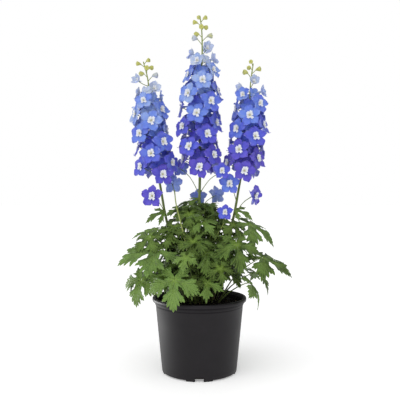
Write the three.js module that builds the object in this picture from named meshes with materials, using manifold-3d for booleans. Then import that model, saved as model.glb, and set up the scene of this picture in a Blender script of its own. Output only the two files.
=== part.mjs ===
// Garden delphinium in a plastic nursery pot: three racemes of florets, a mound of palmate leaves.
// Millimetres, +Z up. The origin is the centre of the underside of the pot, and -Y is the front.
import * as THREE from 'three';
import { mergeVertices } from 'three/addons/utils/BufferGeometryUtils.js';
import Module from 'manifold-3d';

const wasm = await Module();
wasm.setup();

// ---------------------------------------------------------------- driving dimensions

const GAP = 0.35; // clearance between neighbouring pieces
const BLADE = 0.9; // thickness of a leaf or a sepal
const GOLDEN_ANGLE = 137.508; // degrees between one floret and the next round a stem

const POT = {
  height: 166,
  lipRadius: 105,
  lipHeight: 8,
  baseRadius: 83.3,
  wallTopRadius: 99.3,
  wall: 1.8,
  ledgeHeight: 150, // where the wall steps out under the lip
  footHeight: 3, // the skirt stands this far above the feet
  floorBottom: 4.5,
  floorTop: 7,
  bossRadius: 30,
  notchWidth: 19,
  notchTop: 10,
  footWidth: 20,
  drainRadius: 5,
  drainCircle: 55,
  drains: 4,
  sides: 32,
};

const SOIL = { top: 158, fall: 4, flatRadius: 62, rootDepth: 12, sides: 24 };

// Each flowering stem: the points it passes through, and the rule its florets follow. A floret's
// azimuth is counted from the front, and positive to the right.
const SPIKES = [
  {
    name: 'centre',
    path: [[2, 2, 145], [1, 2, 260], [-1, 0, 350], [1, 0, 430], [3, 0, 640],
      [6, 0, 700], [5, 0, 762], [1, 0, 792]],
    radii: [4.2, 1.3],
    first: 454, pitch: 9, count: 31, phase: 0, turn: 1, reach: [38, 22],
    buds: { first: 736, pitch: 7.6, count: 8, reach: [26, 17] },
    bracts: [
      { height: 384, azimuth: -52, length: 34, roll: -24 },
      { height: 370, azimuth: 58, length: 46, roll: 26 },
    ],
    seed: 11,
  },
  {
    name: 'left',
    path: [[-26, 4, 145], [-48, 3, 235], [-75, 0, 342], [-87, 0, 410], [-96, 0, 460], [-110, 0, 565],
      [-115, 0, 650], [-125, 0, 690]],
    radii: [3.8, 1.2],
    first: 438, pitch: 9, count: 24, phase: 24, turn: 1, reach: [34, 22],
    buds: { first: 656, pitch: 6.4, count: 6, reach: [25, 18] },
    bracts: [
      { height: 354, azimuth: -78, length: 50, roll: -38 },
      { height: 330, azimuth: 100, length: 34, roll: 0 },
    ],
    seed: 23,
  },
  {
    name: 'right',
    path: [[27, 6, 145], [50, 5, 245], [76, 0, 342], [90, 0, 418], [103, 0, 487], [110, 0, 540],
      [114, 0, 640], [120, 0, 686]],
    radii: [3.8, 1.2],
    first: 446, pitch: 9.3, count: 22, phase: 6, turn: 1, reach: [34, 22],
    buds: { first: 654, pitch: 7.4, count: 5, reach: [25, 18] },
    bracts: [
      { height: 359, azimuth: 76, length: 46, roll: 34 },
      { height: 326, azimuth: 150, length: 36, roll: 0 },
    ],
    seed: 37,
  },
];

const FLORET = {
  radius: 27, // of a full floret, lowest on the stem
  tipRadius: 15.5, // of a half-open floret, highest on the stem
  stalkDrop: 17, // how far below its floret a stalk leaves the stem
  tilt: 14, // degrees that a face looks up
  toLight: 18, // degrees that a floret at the side turns to the front
  spur: 19,
  sharpBelow: 25, // smaller florets thin to an edge all round
};

// A sepal's outline as [share of the radius, degrees from its middle]; the last point is the notch.
const SEPAL = [[1, -17], [1, 17], [0.64, 36]];

// Florets that stand clear of the racemes: centre, azimuth and tilt of the face, radius, the stem
// that each one's stalk leaves, and the height where it does.
const LOOSE_FLORETS = [
  { name: 'low_left', at: [-102, -40, 391], azimuth: -18, tilt: 6, radius: 27, stem: 'left', leaves: 352 },
  { name: 'side_right', at: [123, -6, 392], azimuth: 56, tilt: -8, radius: 26, stem: 'right', leaves: 345 },
  { name: 'low_front', at: [56, -36, 356], azimuth: -6, tilt: 8, radius: 21, stem: 'side_front',
    leaves: 327 },
  { name: 'middle_left', at: [-60, 12, 419], azimuth: 168, tilt: -6, radius: 24, stem: 'side_left',
    leaves: 376 },
  { name: 'upper_left', at: [-44, 37, 456], azimuth: 168, tilt: 4, radius: 22, stem: 'centre', leaves: 394 },
  { name: 'middle_right', at: [66, -21, 418], azimuth: -4, tilt: 8, radius: 25, stem: 'right', leaves: 378 },
  { name: 'upper_right', at: [48, -36, 446], azimuth: 12, tilt: 10, radius: 21, stem: 'centre', leaves: 396 },
  { name: 'back_right', at: [38, 30, 394], azimuth: 140, tilt: 12, radius: 23, stem: 'centre', leaves: 356 },
  { name: 'back_left', at: [-2, 50, 388], azimuth: 190, tilt: 12, radius: 22, stem: 'centre', leaves: 344 },
];

// Thin side shoots from the crown.
const SHOOTS = [
  { name: 'side_left', radii: [2.4, 1.1],
    path: [[-12, -14, 145], [-20, -46, 230], [-28, -60, 284], [-39, -56, 330],
      [-51, -32, 374], [-55, -12, 404]] },
  { name: 'side_front', radii: [2.2, 1.1],
    path: [[14, -14, 145], [22, -34, 240], [34, -44, 297], [54, -31, 332]] },
];

// The leaves of the front and the sides: junction of blade and stalk, heading of the middle lobe in plan
// (0 right, 90 back, 180 left, 270 front), pitch of its nose downward, roll, length of middle lobe.
const LEAVES = [
  { name: 'left_large', at: [-90, -74, 276], heading: 190, pitch: 4, roll: -26, length: 90, teeth: 2 },
  { name: 'left_low', at: [-124, -62, 211], heading: 226, pitch: 58, roll: -16, length: 57, teeth: 2 },
  { name: 'left_folded', at: [-74, -74, 224], heading: 202, pitch: 14, roll: -58, length: 42, teeth: 1 },
  { name: 'front_left', at: [-52, -107, 219], heading: 266, pitch: 57, roll: 0, length: 66, teeth: 2 },
  { name: 'front_bright', at: [-28, -114, 266], heading: 250, pitch: 46, roll: -6, length: 34, teeth: 1 },
  { name: 'front_centre', at: [12, -76, 272], heading: 274, pitch: 52, roll: 4, length: 54, teeth: 2 },
  { name: 'front_low', at: [16, -90, 210], heading: 262, pitch: 52, roll: 0, length: 44, teeth: 1 },
  { name: 'right_large', at: [79, -75, 289], heading: 290, pitch: 52, roll: 6, length: 62, teeth: 2 },
  { name: 'right_outer', at: [138, -50, 257], heading: 342, pitch: 20, roll: 11, length: 76, teeth: 2 },
  { name: 'right_upper', at: [113, -8, 326], heading: 356, pitch: 24, roll: 18, length: 74, teeth: 2 },
  { name: 'right_low', at: [112, -58, 202], heading: 348, pitch: 52, roll: -4, length: 54, teeth: 2 },
  { name: 'middle_right', at: [43, -104, 242], heading: 286, pitch: 56, roll: 6, length: 38, teeth: 1 },
  { name: 'middle_left', at: [-65, -57, 305], heading: 250, pitch: 44, roll: -8, length: 34, teeth: 1 },
  { name: 'top_centre', at: [6, -44, 334], heading: 308, pitch: 24, roll: 20, length: 46, teeth: 1 },
  { name: 'top_left', at: [-44, -8, 360], heading: 268, pitch: 34, roll: 0, length: 40, teeth: 1 },
  { name: 'top_right', at: [36, 6, 322], heading: 286, pitch: 40, roll: 10, length: 38, teeth: 1 },
  { name: 'left_upper', at: [-118, 15, 308], heading: 184, pitch: 6, roll: -14, length: 40, teeth: 1 },
  { name: 'left_high', at: [-97, -17, 317], heading: 192, pitch: 8, roll: -16, length: 38, teeth: 1 },
];

// The leaves round the back, in tiers.
const BACK_LEAVES = [
  { tier: 'low', count: 5, from: 18, to: 162, radius: 138, height: 212, pitch: 34, length: 58, teeth: 1 },
  { tier: 'high', count: 3, from: 40, to: 140, radius: 92, height: 284, pitch: 24, length: 60, teeth: 1 },
  { tier: 'crown', count: 2, from: 50, to: 128, radius: 42, height: 362, pitch: 26, length: 44, teeth: 1 },
];

const CROWN = { radius: 40, petiole: [2.3, 1.5], sunk: 0.3 };

// ---------------------------------------------------------------- materials

const material = (color, roughness) => new THREE.MeshStandardMaterial({ color, roughness, metalness: 0 });
const potPlastic = () => material(0x2e2b2f, 0.5);
const compost = () => material(0x1d150c, 0.95);
const stemGreen = () => material(0x6d8a33, 0.6);
const leafGreen = () => material(0x557f33, 0.55);
const petalBlue = () => material(0x5560d6, 0.6);

// ---------------------------------------------------------------- tools

/** A repeatable source of numbers from -1 to 1. */
function jitter(seed) {
  let state = seed >>> 0;
  return () => {
    state = (Math.imul(state, 1664525) + 1013904223) >>> 0;
    return (state / 4294967296) * 2 - 1;
  };
}

const radians = THREE.MathUtils.degToRad;
const { lerp, smoothstep } = THREE.MathUtils;
const vector = ([x, y, z]) => new THREE.Vector3(x, y, z);
const curveOf = (points) => new THREE.CatmullRomCurve3(points.map(vector), false, 'centripetal');

/** Volume inside a closed triangle mesh; negative where its faces point in. */
function signedVolume(position, index) {
  const [a, b, c] = [new THREE.Vector3(), new THREE.Vector3(), new THREE.Vector3()];
  let sum = 0;
  for (let i = 0; i < index.length; i += 3) {
    a.fromBufferAttribute(position, index[i]);
    b.fromBufferAttribute(position, index[i + 1]);
    c.fromBufferAttribute(position, index[i + 2]);
    sum += a.dot(b.cross(c));
  }
  return sum / 6;
}

/** A manifold solid from a closed geometry, turned outward. */
function solid(geometry) {
  const bare = geometry.clone();
  bare.deleteAttribute('normal');
  bare.deleteAttribute('uv');
  const merged = mergeVertices(bare, 1e-4);
  const triangles = Array.from(merged.index.array);
  if (signedVolume(merged.attributes.position, triangles) < 0) triangles.reverse();
  const mesh = new wasm.Mesh({
    numProp: 3,
    vertProperties: new Float32Array(merged.attributes.position.array),
    triVerts: new Uint32Array(triangles),
  });
  return new wasm.Manifold(mesh);
}

/** The largest connected body of a solid, so that no loose scrap is left. */
const mainBody = (body) => body.decompose()
  .reduce((best, one) => (one.volume() > best.volume() ? one : best));

/** A named mesh from a manifold solid. */
function pieceFrom(name, body, finish) {
  const { vertProperties, triVerts } = mainBody(body).getMesh();
  const geometry = new THREE.BufferGeometry();
  geometry.setAttribute('position', new THREE.BufferAttribute(new Float32Array(vertProperties), 3));
  geometry.setIndex(Array.from(triVerts));
  geometry.computeVertexNormals();
  const mesh = new THREE.Mesh(geometry, finish);
  mesh.name = name;
  return mesh;
}

const taper = (start, end, steps) => Array.from({ length: steps + 1 }, (_, i) => lerp(start, end, i / steps));

/** A rod of a few sides along a curve, with a radius for each step, closed at both ends. */
function rod(curve, radii, sides) {
  const steps = radii.length - 1;
  const geometry = new THREE.CylinderGeometry(1, 1, 1, sides, steps);
  const frames = curve.computeFrenetFrames(steps, false);
  const place = geometry.attributes.position;
  for (let i = 0; i < place.count; i += 1) {
    const step = Math.round((place.getY(i) + 0.5) * steps);
    const point = curve.getPointAt(step / steps)
      .addScaledVector(frames.normals[step], place.getX(i) * radii[step])
      .addScaledVector(frames.binormals[step], -place.getZ(i) * radii[step]);
    place.setXYZ(i, point.x, point.y, point.z);
  }
  return geometry;
}

/** The point where a curve that climbs reaches a height. */
function pointAtHeight(curve, height) {
  let [low, high] = [0, 1];
  for (let i = 0; i < 24; i += 1) {
    const middle = (low + high) / 2;
    if (curve.getPointAt(middle).z < height) low = middle;
    else high = middle;
  }
  return curve.getPointAt(low);
}

/** A geometry from points and the indices of its triangles. */
function indexed(points, triangles) {
  const geometry = new THREE.BufferGeometry();
  const places = points.flatMap((point) => point.toArray());
  geometry.setAttribute('position', new THREE.Float32BufferAttribute(places, 3));
  geometry.setIndex(triangles);
  return geometry;
}

/** A closed geometry from two outlines of corresponding points and the triangles of the upper face. */
function plate(upper, lower, faces, rim) {
  const count = upper.length;
  const triangles = faces.flatMap(([a, b, c]) => [a, b, c, c + count, b + count, a + count]);
  rim.forEach((a, i) => {
    const b = rim[(i + 1) % rim.length];
    triangles.push(a, a + count, b, b, a + count, b + count);
  });
  return indexed([...upper, ...lower], triangles);
}

// ---------------------------------------------------------------- pot and compost

/** A body of revolution about +Z from a profile of [radius, height] pairs. */
function turned(profile, sides) {
  const points = profile.map(([radius, height]) => new THREE.Vector2(radius, height));
  return new THREE.LatheGeometry(points, sides).rotateX(Math.PI / 2);
}

const wallRadius = (height) => lerp(POT.baseRadius, POT.wallTopRadius, height / POT.height);

function potBody() {
  const skirt = 6;
  const inner = (height) => wallRadius(height) - POT.wall;
  let body = solid(turned([
    [0, 0], [POT.bossRadius, 0], [POT.bossRadius + 1, POT.floorBottom],
    [POT.baseRadius - skirt - 1, POT.floorBottom], [POT.baseRadius - skirt, POT.footHeight],
    [wallRadius(0), POT.footHeight], [wallRadius(POT.ledgeHeight), POT.ledgeHeight],
    [wallRadius(POT.ledgeHeight) + 1.2, POT.ledgeHeight + 1.5],
    [POT.wallTopRadius + 0.6, POT.height - POT.lipHeight],
    [POT.lipRadius, POT.height - POT.lipHeight + 1], [POT.lipRadius, POT.height - 2.5],
    [POT.lipRadius - 2, POT.height], [POT.wallTopRadius - 0.6, POT.height],
    [inner(POT.ledgeHeight), POT.ledgeHeight], [inner(POT.floorTop), POT.floorTop], [0, POT.floorTop],
  ], POT.sides));

  const footTop = POT.footHeight + 0.6;
  const footInner = POT.baseRadius - skirt;
  const ring = solid(turned([
    [footInner + 0.4, 0], [POT.baseRadius - 0.6, 0], [POT.baseRadius - 0.4, footTop],
    [footInner + 0.2, footTop], [footInner + 0.4, 0],
  ], POT.sides));
  const span = POT.baseRadius * 2 + 10;
  const footBand = POT.notchWidth + POT.footWidth * 2;
  for (const quarter of [0, 1]) {
    const band = new THREE.BoxGeometry(span, footBand, 12).rotateZ((quarter * Math.PI) / 2);
    body = body.add(ring.intersect(solid(band)));
  }
  for (const quarter of [0, 1, 2, 3]) {
    const notch = new THREE.BoxGeometry(14, POT.notchWidth, POT.notchTop * 2)
      .translate(POT.baseRadius - 1, 0, 0).rotateZ((quarter * Math.PI) / 2);
    body = body.subtract(solid(notch));
  }
  for (let i = 0; i < POT.drains; i += 1) {
    const angle = ((i + 0.5) / POT.drains) * Math.PI * 2;
    const drain = new THREE.CylinderGeometry(POT.drainRadius, POT.drainRadius, 20, 6).rotateX(Math.PI / 2)
      .translate(Math.cos(angle) * POT.drainCircle, Math.sin(angle) * POT.drainCircle, 5);
    body = body.subtract(solid(drain));
  }
  return body;
}

/** The compost, with a plain hole for every root that stands in it. */
function compostBody(roots) {
  const fit = wallRadius(SOIL.top) - POT.wall - GAP;
  const foot = wallRadius(POT.floorTop) - POT.wall - GAP;
  let body = solid(turned([
    [0, POT.floorTop + GAP], [foot - 1, POT.floorTop + GAP], [fit - 1.5, SOIL.top - SOIL.fall],
    [SOIL.flatRadius, SOIL.top], [0, SOIL.top],
  ], SOIL.sides));
  for (const { curve, radius, sides } of roots) {
    const base = curve.getPointAt(0);
    const upper = pointAtHeight(curve, SOIL.top + 14);
    const hole = new THREE.LineCurve3(base.clone().addScaledVector(upper.clone().sub(base), -0.02), upper);
    const wide = (radius + GAP * 1.3) / Math.cos(Math.PI / sides);
    body = body.subtract(solid(rod(hole, [wide, wide], sides)));
  }
  return body;
}

// ---------------------------------------------------------------- florets, buds and stems

/** Turns local +Z to look out at an azimuth, tilted up, with +Y kept upward. */
function facing(azimuth, tilt, roll, at) {
  const yaw = radians(azimuth);
  const rise = radians(tilt);
  const level = Math.cos(rise);
  const out = new THREE.Vector3(Math.sin(yaw) * level, -Math.cos(yaw) * level, Math.sin(rise));
  const side = new THREE.Vector3(0, 0, 1).cross(out).normalize();
  const up = out.clone().cross(side);
  return new THREE.Matrix4().makeBasis(side, up, out).setPosition(at)
    .multiply(new THREE.Matrix4().makeRotationZ(radians(roll)));
}

/**
 * One floret looking along local +Z: a dish of five sepals whose outline has a blunt tip and a
 * notch each, and behind it a spur and a stalk that run to two given points.
 */
function floret(radius, cup, spurTip, stalkTip) {
  const rim = [];
  const ring = [];
  for (let k = 0; k < 5; k += 1) {
    const middle = 90 + k * 72;
    const at = (reach, turn, rise) => new THREE.Vector3(
      Math.cos(radians(middle + turn)), Math.sin(radians(middle + turn)), 0)
      .multiplyScalar(reach * radius).setZ(rise * radius);
    ring.push(at(0.2, 0, -0.04));
    SEPAL.forEach(([reach, turn]) => rim.push(at(reach, turn, cup * reach ** 2)));
  }
  const throat = new THREE.Vector3(0, 0, -0.04 * radius);
  const thicken = (p) => p.clone().add(new THREE.Vector3(0, 0, -BLADE));
  const points = [...rim, throat, ...rim.map(thicken), ...ring.map(thicken), stalkTip, spurTip];
  const [front, behindRim] = [rim.length, rim.length + 1];
  const isSharp = (i) => radius < FLORET.sharpBelow || i % SEPAL.length === SEPAL.length - 1;
  const back = (i) => (isSharp(i) ? i : behindRim + i);
  const ringAt = behindRim + rim.length;
  const stalk = ringAt + ring.length;
  const spur = stalk + 1;
  const faces = [];
  rim.forEach((_, i) => {
    const next = (i + 1) % rim.length;
    faces.push([front, i, next]);
    if (!isSharp(i)) faces.push([i, back(i), next]);
    if (!isSharp(next)) faces.push([next, back(i), back(next)]);
  });
  for (let k = 0; k < 5; k += 1) {
    const [here, next] = [ringAt + k, ringAt + ((k + 1) % 5)];
    const edge = SEPAL.map((_, j) => back(k * SEPAL.length + j));
    const [head, notch] = [edge.slice(0, -1), edge.at(-1)];
    head.slice(1).forEach((point, j) => faces.push([here, point, head[j]]));
    faces.push([here, notch, head.at(-1)], [here, next, notch]);
    faces.push([next, back(((k + 1) % 5) * SEPAL.length), notch]);
  }
  const behind = (a, b, tip) => faces.push([ringAt + b, ringAt + a, tip]);
  behind(0, 1, spur);
  behind(4, 0, spur);
  behind(1, 4, spur);
  behind(1, 2, stalk);
  behind(2, 3, stalk);
  behind(3, 4, stalk);
  behind(4, 1, stalk);
  return indexed(points, faces.flat());
}

/** Where each floret of a raceme sits, which way it looks and how large it is. */
function florets(spike, curve) {
  const draw = jitter(spike.seed);
  return Array.from({ length: spike.count }, (_, i) => {
    const climb = i / (spike.count - 1);
    const around = spike.phase + spike.turn * GOLDEN_ANGLE * i + draw() * 5;
    const azimuth = around - FLORET.toLight * Math.sin(radians(around));
    const height = spike.first + spike.pitch * i;
    const reach = lerp(spike.reach[0], spike.reach[1], smoothstep(climb, 0.45, 1)) * (1 + draw() * 0.1);
    const radius = lerp(FLORET.radius, FLORET.tipRadius, smoothstep(climb, 0.58, 1.06));
    const tilt = FLORET.tilt + draw() * 7 + smoothstep(climb, 0.7, 1) * 8;
    const roll = draw() * 16;
    const cup = lerp(0.1, 0.9, smoothstep(climb, 0.76, 1));
    const out = new THREE.Vector3(Math.sin(radians(around)), -Math.cos(radians(around)), 0);
    const at = pointAtHeight(curve, height).addScaledVector(out, reach);
    const stalk = pointAtHeight(curve, height - FLORET.stalkDrop * (1 - climb * 0.45));
    return { at, azimuth, tilt, roll, radius, cup, stalk };
  });
}

/** A floret set in place, with its stalk sunk into the stem's core. */
function floretBody({ at, azimuth, tilt, roll, radius, cup, stalk }) {
  const place = facing(azimuth, tilt, roll, at);
  const local = place.clone().invert();
  const spurWay = new THREE.Vector3(0, 0.5, -0.86).multiplyScalar((FLORET.spur * radius) / FLORET.radius);
  const rollBack = new THREE.Matrix4().makeRotationZ(radians(-roll));
  const spurTip = spurWay.applyMatrix4(rollBack);
  const stalkTip = stalk.clone().applyMatrix4(local);
  return solid(floret(radius, cup, spurTip, stalkTip).applyMatrix4(place));
}

/** A raceme: florets whose stalks are sunk into a slim core that sleeves the stem. */
function racemeBody(spike, curve, stemRadius) {
  const all = florets(spike, curve);
  const top = spike.first + spike.pitch * (spike.count - 1);
  const from = pointAtHeight(curve, spike.first - FLORET.stalkDrop - 4);
  const to = pointAtHeight(curve, top - 4);
  const heights = taper(from.z, to.z, 5);
  const span = curveOf(heights.map((height) => pointAtHeight(curve, height).toArray()));
  const body = solid(rod(span, taper(stemRadius(from.z) + 1.7, stemRadius(to.z) + 1.5, 5), 6));
  return wasm.Manifold.union([body, ...all.map(floretBody)]);
}

/** Closed buds on short stalks, over the florets. */
function budBodies(spike, curve) {
  const draw = jitter(spike.seed + 500);
  const { first, pitch, count, reach } = spike.buds;
  const bodies = [];
  for (let i = 0; i < count; i += 1) {
    const climb = i / (count - 1);
    const azimuth = radians(spike.phase + spike.turn * GOLDEN_ANGLE * (spike.count + i) + draw() * 12);
    const out = new THREE.Vector3(Math.sin(azimuth), -Math.cos(azimuth), 0);
    const height = first + pitch * i;
    const root = pointAtHeight(curve, height - 9 * (1 - climb * 0.6));
    const tip = pointAtHeight(curve, height).addScaledVector(out, lerp(reach[0], reach[1], climb));
    tip.z = height + 6;
    const size = lerp(6.2, 4.6, climb);
    bodies.push(solid(rod(new THREE.LineCurve3(root, tip), [0.9, 0.8, size, 0.4], 4)));
  }
  return bodies;
}

// ---------------------------------------------------------------- leaves

/** Half of a lobe's outline as [along, across] shares of its length, from the sinus to the tip. */
const LOBE_EDGES = {
  0: [[0.55, 0.11]],
  1: [[0.68, 0.29], [0.66, 0.1]],
  2: [[0.7, 0.33], [0.55, 0.13], [0.84, 0.18], [0.8, 0.07]],
};
const MIDRIBS = { 0: [0.5], 1: [0.52], 2: [0.4, 0.72] };

/**
 * A palmate blade with its junction at the origin, its middle lobe along +X and its upper side
 * +Z. The lobes arch down toward their tips and fold up a little along each midrib.
 */
function blade({ length, teeth = 1, lobes = 5, droop = 0.34, fold = 0.16 }) {
  const spread = lobes === 5 ? [-136, -70, 0, 70, 136] : [-54, 0, 54];
  const share = lobes === 5 ? [0.7, 0.93, 1, 0.93, 0.7] : [0.72, 1, 0.72];
  const flat = [[0, 0, 0]];
  const rim = [];
  const faces = [];
  const add = (x, y, lift, onRim) => {
    flat.push([x, y, lift]);
    if (onRim) rim.push(flat.length - 1);
    return flat.length - 1;
  };
  const last = spread.length - 1;
  const heel = add(-0.07 * length, 0, 0, true);
  let sinus = heel;
  spread.forEach((degrees, k) => {
    const reach = share[k] * length;
    const cut = share[k] < 0.8 ? Math.min(teeth, 1) : teeth;
    const edge = LOBE_EDGES[cut];
    const [c, s] = [Math.cos(radians(degrees)), Math.sin(radians(degrees))];
    const at = (along, across) => [(along * c - across * s) * reach, (along * s + across * c) * reach];
    const right = edge.map(([u, v]) => add(...at(u, -v), v * fold * reach, true));
    const tip = add(...at(1, 0), 0, true);
    const left = [...edge].reverse().map(([u, v]) => add(...at(u, v), v * fold * reach, true)).reverse();
    const ribs = MIDRIBS[cut].map((u) => add(...at(u, 0), 0, false));
    let nextSinus = heel;
    if (k < last) {
      const between = radians((degrees + spread[k + 1]) / 2);
      const deep = (0.22 * length * (share[k] + share[k + 1])) / 2;
      nextSinus = add(Math.cos(between) * deep, Math.sin(between) * deep, 0.03 * length, true);
    }
    for (const [side, start, flip] of [[right, sinus, false], [left, nextSinus, true]]) {
      const strip = [start, ...side, tip];
      const spine = [0, ...ribs, tip];
      const push = (a, b, d) => faces.push(flip ? [a, d, b] : [a, b, d]);
      stitch(strip, spine, flat, push);
    }
    sinus = nextSinus;
  });
  return bentPlate(flat, faces, rim, length, droop);
}

/** Joins an edge to a spine that ends in the same point, taking the shorter diagonal each time. */
function stitch(strip, spine, flat, push) {
  const apart = (a, b) => Math.hypot(flat[a][0] - flat[b][0], flat[a][1] - flat[b][1]);
  let [i, j] = [0, 0];
  while (i < strip.length - 2 || j < spine.length - 2) {
    const alongStrip = i < strip.length - 2 ? apart(strip[i + 1], spine[j]) : Infinity;
    const alongSpine = j < spine.length - 2 ? apart(strip[i], spine[j + 1]) : Infinity;
    if (alongStrip <= alongSpine) {
      push(spine[j], strip[i], strip[i + 1]);
      i += 1;
    } else {
      push(spine[j], strip[i], spine[j + 1]);
      j += 1;
    }
  }
  push(spine[j], strip[i], strip[i + 1]);
}

/** Thickens a flat blade and arches it, both faces by the same formula. */
function bentPlate(flat, faces, rim, length, droop) {
  const bend = ([x, y, lift], side) => {
    const reach = Math.hypot(x, y);
    const slope = (2 * droop * reach) / length;
    const normal = new THREE.Vector3((slope * x) / (reach || 1), (slope * y) / (reach || 1), 1).normalize();
    const squeeze = 1 - 0.18 * droop * (reach / length) ** 2;
    const place = new THREE.Vector3(x * squeeze, y * squeeze, lift - (droop * reach * reach) / length);
    return place.addScaledVector(normal, (side * BLADE) / 2);
  };
  return plate(flat.map((p) => bend(p, 1)), flat.map((p) => bend(p, -1)), faces, rim);
}

/** The small divided leaves that grow from a flowering stem. */
function bractBodies(spike, curve) {
  return spike.bracts.map(({ height, azimuth, length, roll }) => {
    const at = pointAtHeight(curve, height).toArray();
    const place = bladePlace({ at, heading: azimuth - 90, pitch: 12, roll });
    return solid(blade({ length, teeth: 0, lobes: 3 }).applyMatrix4(place));
  });
}

/** Stands a blade at its junction with a heading, a pitch and a roll. */
function bladePlace({ at, heading, pitch, roll }) {
  const turn = new THREE.Euler(radians(roll), radians(pitch), radians(heading), 'ZYX');
  return new THREE.Matrix4().makeRotationFromEuler(turn).setPosition(vector(at));
}

/** The leaf stalk's curve, from its root in the compost up and outward to the blade. */
function petioleCurve(leaf, root) {
  const end = vector(leaf.at);
  const place = bladePlace(leaf);
  const inward = new THREE.Vector3(-0.14 * leaf.length, 0, -0.1 * leaf.length).applyMatrix4(place);
  const middle = root.clone().lerp(end, 0.4);
  middle.z = lerp(root.z, end.z, 0.62);
  return curveOf([root.toArray(), middle.toArray(), inward.toArray(), end.toArray()]);
}

// ---------------------------------------------------------------- the plant

const plant = new THREE.Group();
const roots = [];

const stemCurves = new Map();
for (const { name, path, radii } of [...SPIKES, ...SHOOTS]) {
  const curve = curveOf(path);
  stemCurves.set(name, curve);
  roots.push({ curve, radius: radii[0], sides: 6 });
}

/** The curved stalk of a loose floret, from its stem to just behind the spur. */
function looseStalk({ at, azimuth, tilt, stem, leaves }) {
  const start = pointAtHeight(stemCurves.get(stem), leaves);
  const end = new THREE.Vector3(0, -3, -9 - GAP * 2).applyMatrix4(facing(azimuth, tilt, 0, vector(at)));
  const middle = start.clone().lerp(end, 0.5);
  middle.z = lerp(start.z, end.z, 0.68);
  return curveOf([start.toArray(), middle.toArray(), end.toArray()]);
}

function stemBody(name, radii, steps) {
  const curve = stemCurves.get(name);
  const stalks = LOOSE_FLORETS.filter((one) => one.stem === name)
    .map((one) => solid(rod(looseStalk(one), taper(1, 0.8, 3), 3)));
  return [solid(rod(curve, taper(radii[0], radii[1], steps), 5)), ...stalks];
}

for (const spike of SPIKES) {
  const curve = stemCurves.get(spike.name);
  const low = curve.getPointAt(0).z;
  const high = curve.getPointAt(1).z;
  const stemRadius = (height) => lerp(spike.radii[0], spike.radii[1], (height - low) / (high - low));
  const steps = 12;
  const stem = wasm.Manifold.union([
    ...stemBody(spike.name, spike.radii, steps), ...budBodies(spike, curve), ...bractBodies(spike, curve),
  ]);
  const bore = solid(rod(curve, taper(spike.radii[0] + GAP * 1.4, spike.radii[1] + GAP * 1.4, steps), 5));
  const raceme = racemeBody(spike, curve, stemRadius).subtract(bore);
  plant.add(pieceFrom(`stem_${spike.name}`, stem, stemGreen()));
  plant.add(pieceFrom(`raceme_${spike.name}`, raceme, petalBlue()));
}

for (const shoot of SHOOTS) {
  const body = wasm.Manifold.union(stemBody(shoot.name, shoot.radii, 8));
  plant.add(pieceFrom(`shoot_${shoot.name}`, body, stemGreen()));
}

for (const { name, at, azimuth, tilt, radius } of LOOSE_FLORETS) {
  const stalkTip = new THREE.Vector3(0, -3, -9);
  const spurTip = new THREE.Vector3(0, 0.5, -0.86).multiplyScalar((FLORET.spur * radius) / FLORET.radius);
  const geometry = floret(radius, 0.12, spurTip, stalkTip).applyMatrix4(facing(azimuth, tilt, 0, vector(at)));
  plant.add(pieceFrom(`floret_${name}`, solid(geometry), petalBlue()));
}

const backLeaves = BACK_LEAVES.flatMap((tier) => Array.from({ length: tier.count }, (_, i) => {
  const heading = lerp(tier.from, tier.to, i / (tier.count - 1));
  const [c, s] = [Math.cos(radians(heading)), Math.sin(radians(heading))];
  return {
    ...tier, name: `back_${tier.tier}_${i + 1}`, heading, roll: 0,
    at: [c * tier.radius, s * tier.radius, tier.height + (i % 2) * 14],
  };
}));

for (const leaf of [...LEAVES, ...backLeaves]) {
  const aim = Math.atan2(leaf.at[1], leaf.at[0]);
  const out = Math.hypot(leaf.at[0], leaf.at[1]);
  const rootRadius = lerp(16, CROWN.radius, smoothstep(out, 30, 150));
  const root = new THREE.Vector3(rootRadius, 0, SOIL.top - SOIL.rootDepth)
    .applyAxisAngle(new THREE.Vector3(0, 0, 1), aim);
  const curve = petioleCurve(leaf, root);
  const petiole = rod(curve, [...taper(...CROWN.petiole, 3), CROWN.sunk], 3);
  const face = blade(leaf).applyMatrix4(bladePlace(leaf));
  roots.push({ curve, radius: CROWN.petiole[0], sides: 3 });
  plant.add(pieceFrom(`leaf_${leaf.name}`, solid(petiole).add(solid(face)), leafGreen()));
}

plant.add(pieceFrom('soil', compostBody(roots), compost()));
plant.add(pieceFrom('pot', potBody(), potPlastic()));

export default plant;
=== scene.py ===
"""Garden delphinium in a plastic nursery pot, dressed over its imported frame.

Sizes in the classes are millimetres, +Z is up and -Y is the front, as in the frame. Every mesh is
turned to metres where its points are laid.
"""

import logging
import math
from dataclasses import dataclass, field
from enum import Enum
from typing import Callable, Iterable, Optional, Sequence

import bpy
import numpy as np
from mathutils import Euler, Matrix, Vector


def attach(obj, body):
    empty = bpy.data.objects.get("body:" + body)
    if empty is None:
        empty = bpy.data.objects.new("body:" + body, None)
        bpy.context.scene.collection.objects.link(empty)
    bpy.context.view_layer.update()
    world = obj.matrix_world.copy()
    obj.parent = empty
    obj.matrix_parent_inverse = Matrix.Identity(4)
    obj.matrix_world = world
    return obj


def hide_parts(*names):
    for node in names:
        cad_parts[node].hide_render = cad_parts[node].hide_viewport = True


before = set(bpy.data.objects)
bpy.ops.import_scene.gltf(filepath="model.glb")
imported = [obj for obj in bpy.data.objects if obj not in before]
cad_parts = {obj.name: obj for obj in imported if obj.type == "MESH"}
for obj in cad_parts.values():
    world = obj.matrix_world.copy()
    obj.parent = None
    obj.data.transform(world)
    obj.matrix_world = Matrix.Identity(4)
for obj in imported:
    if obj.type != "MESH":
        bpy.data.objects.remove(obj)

LOG = logging.getLogger("delphinium")
MM = 0.001
BODY = "root"
GOLDEN_ANGLE = 137.508  # degrees from one floret or leaf to the next
FULL_RADIUS = 27.0  # of a full floret
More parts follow.
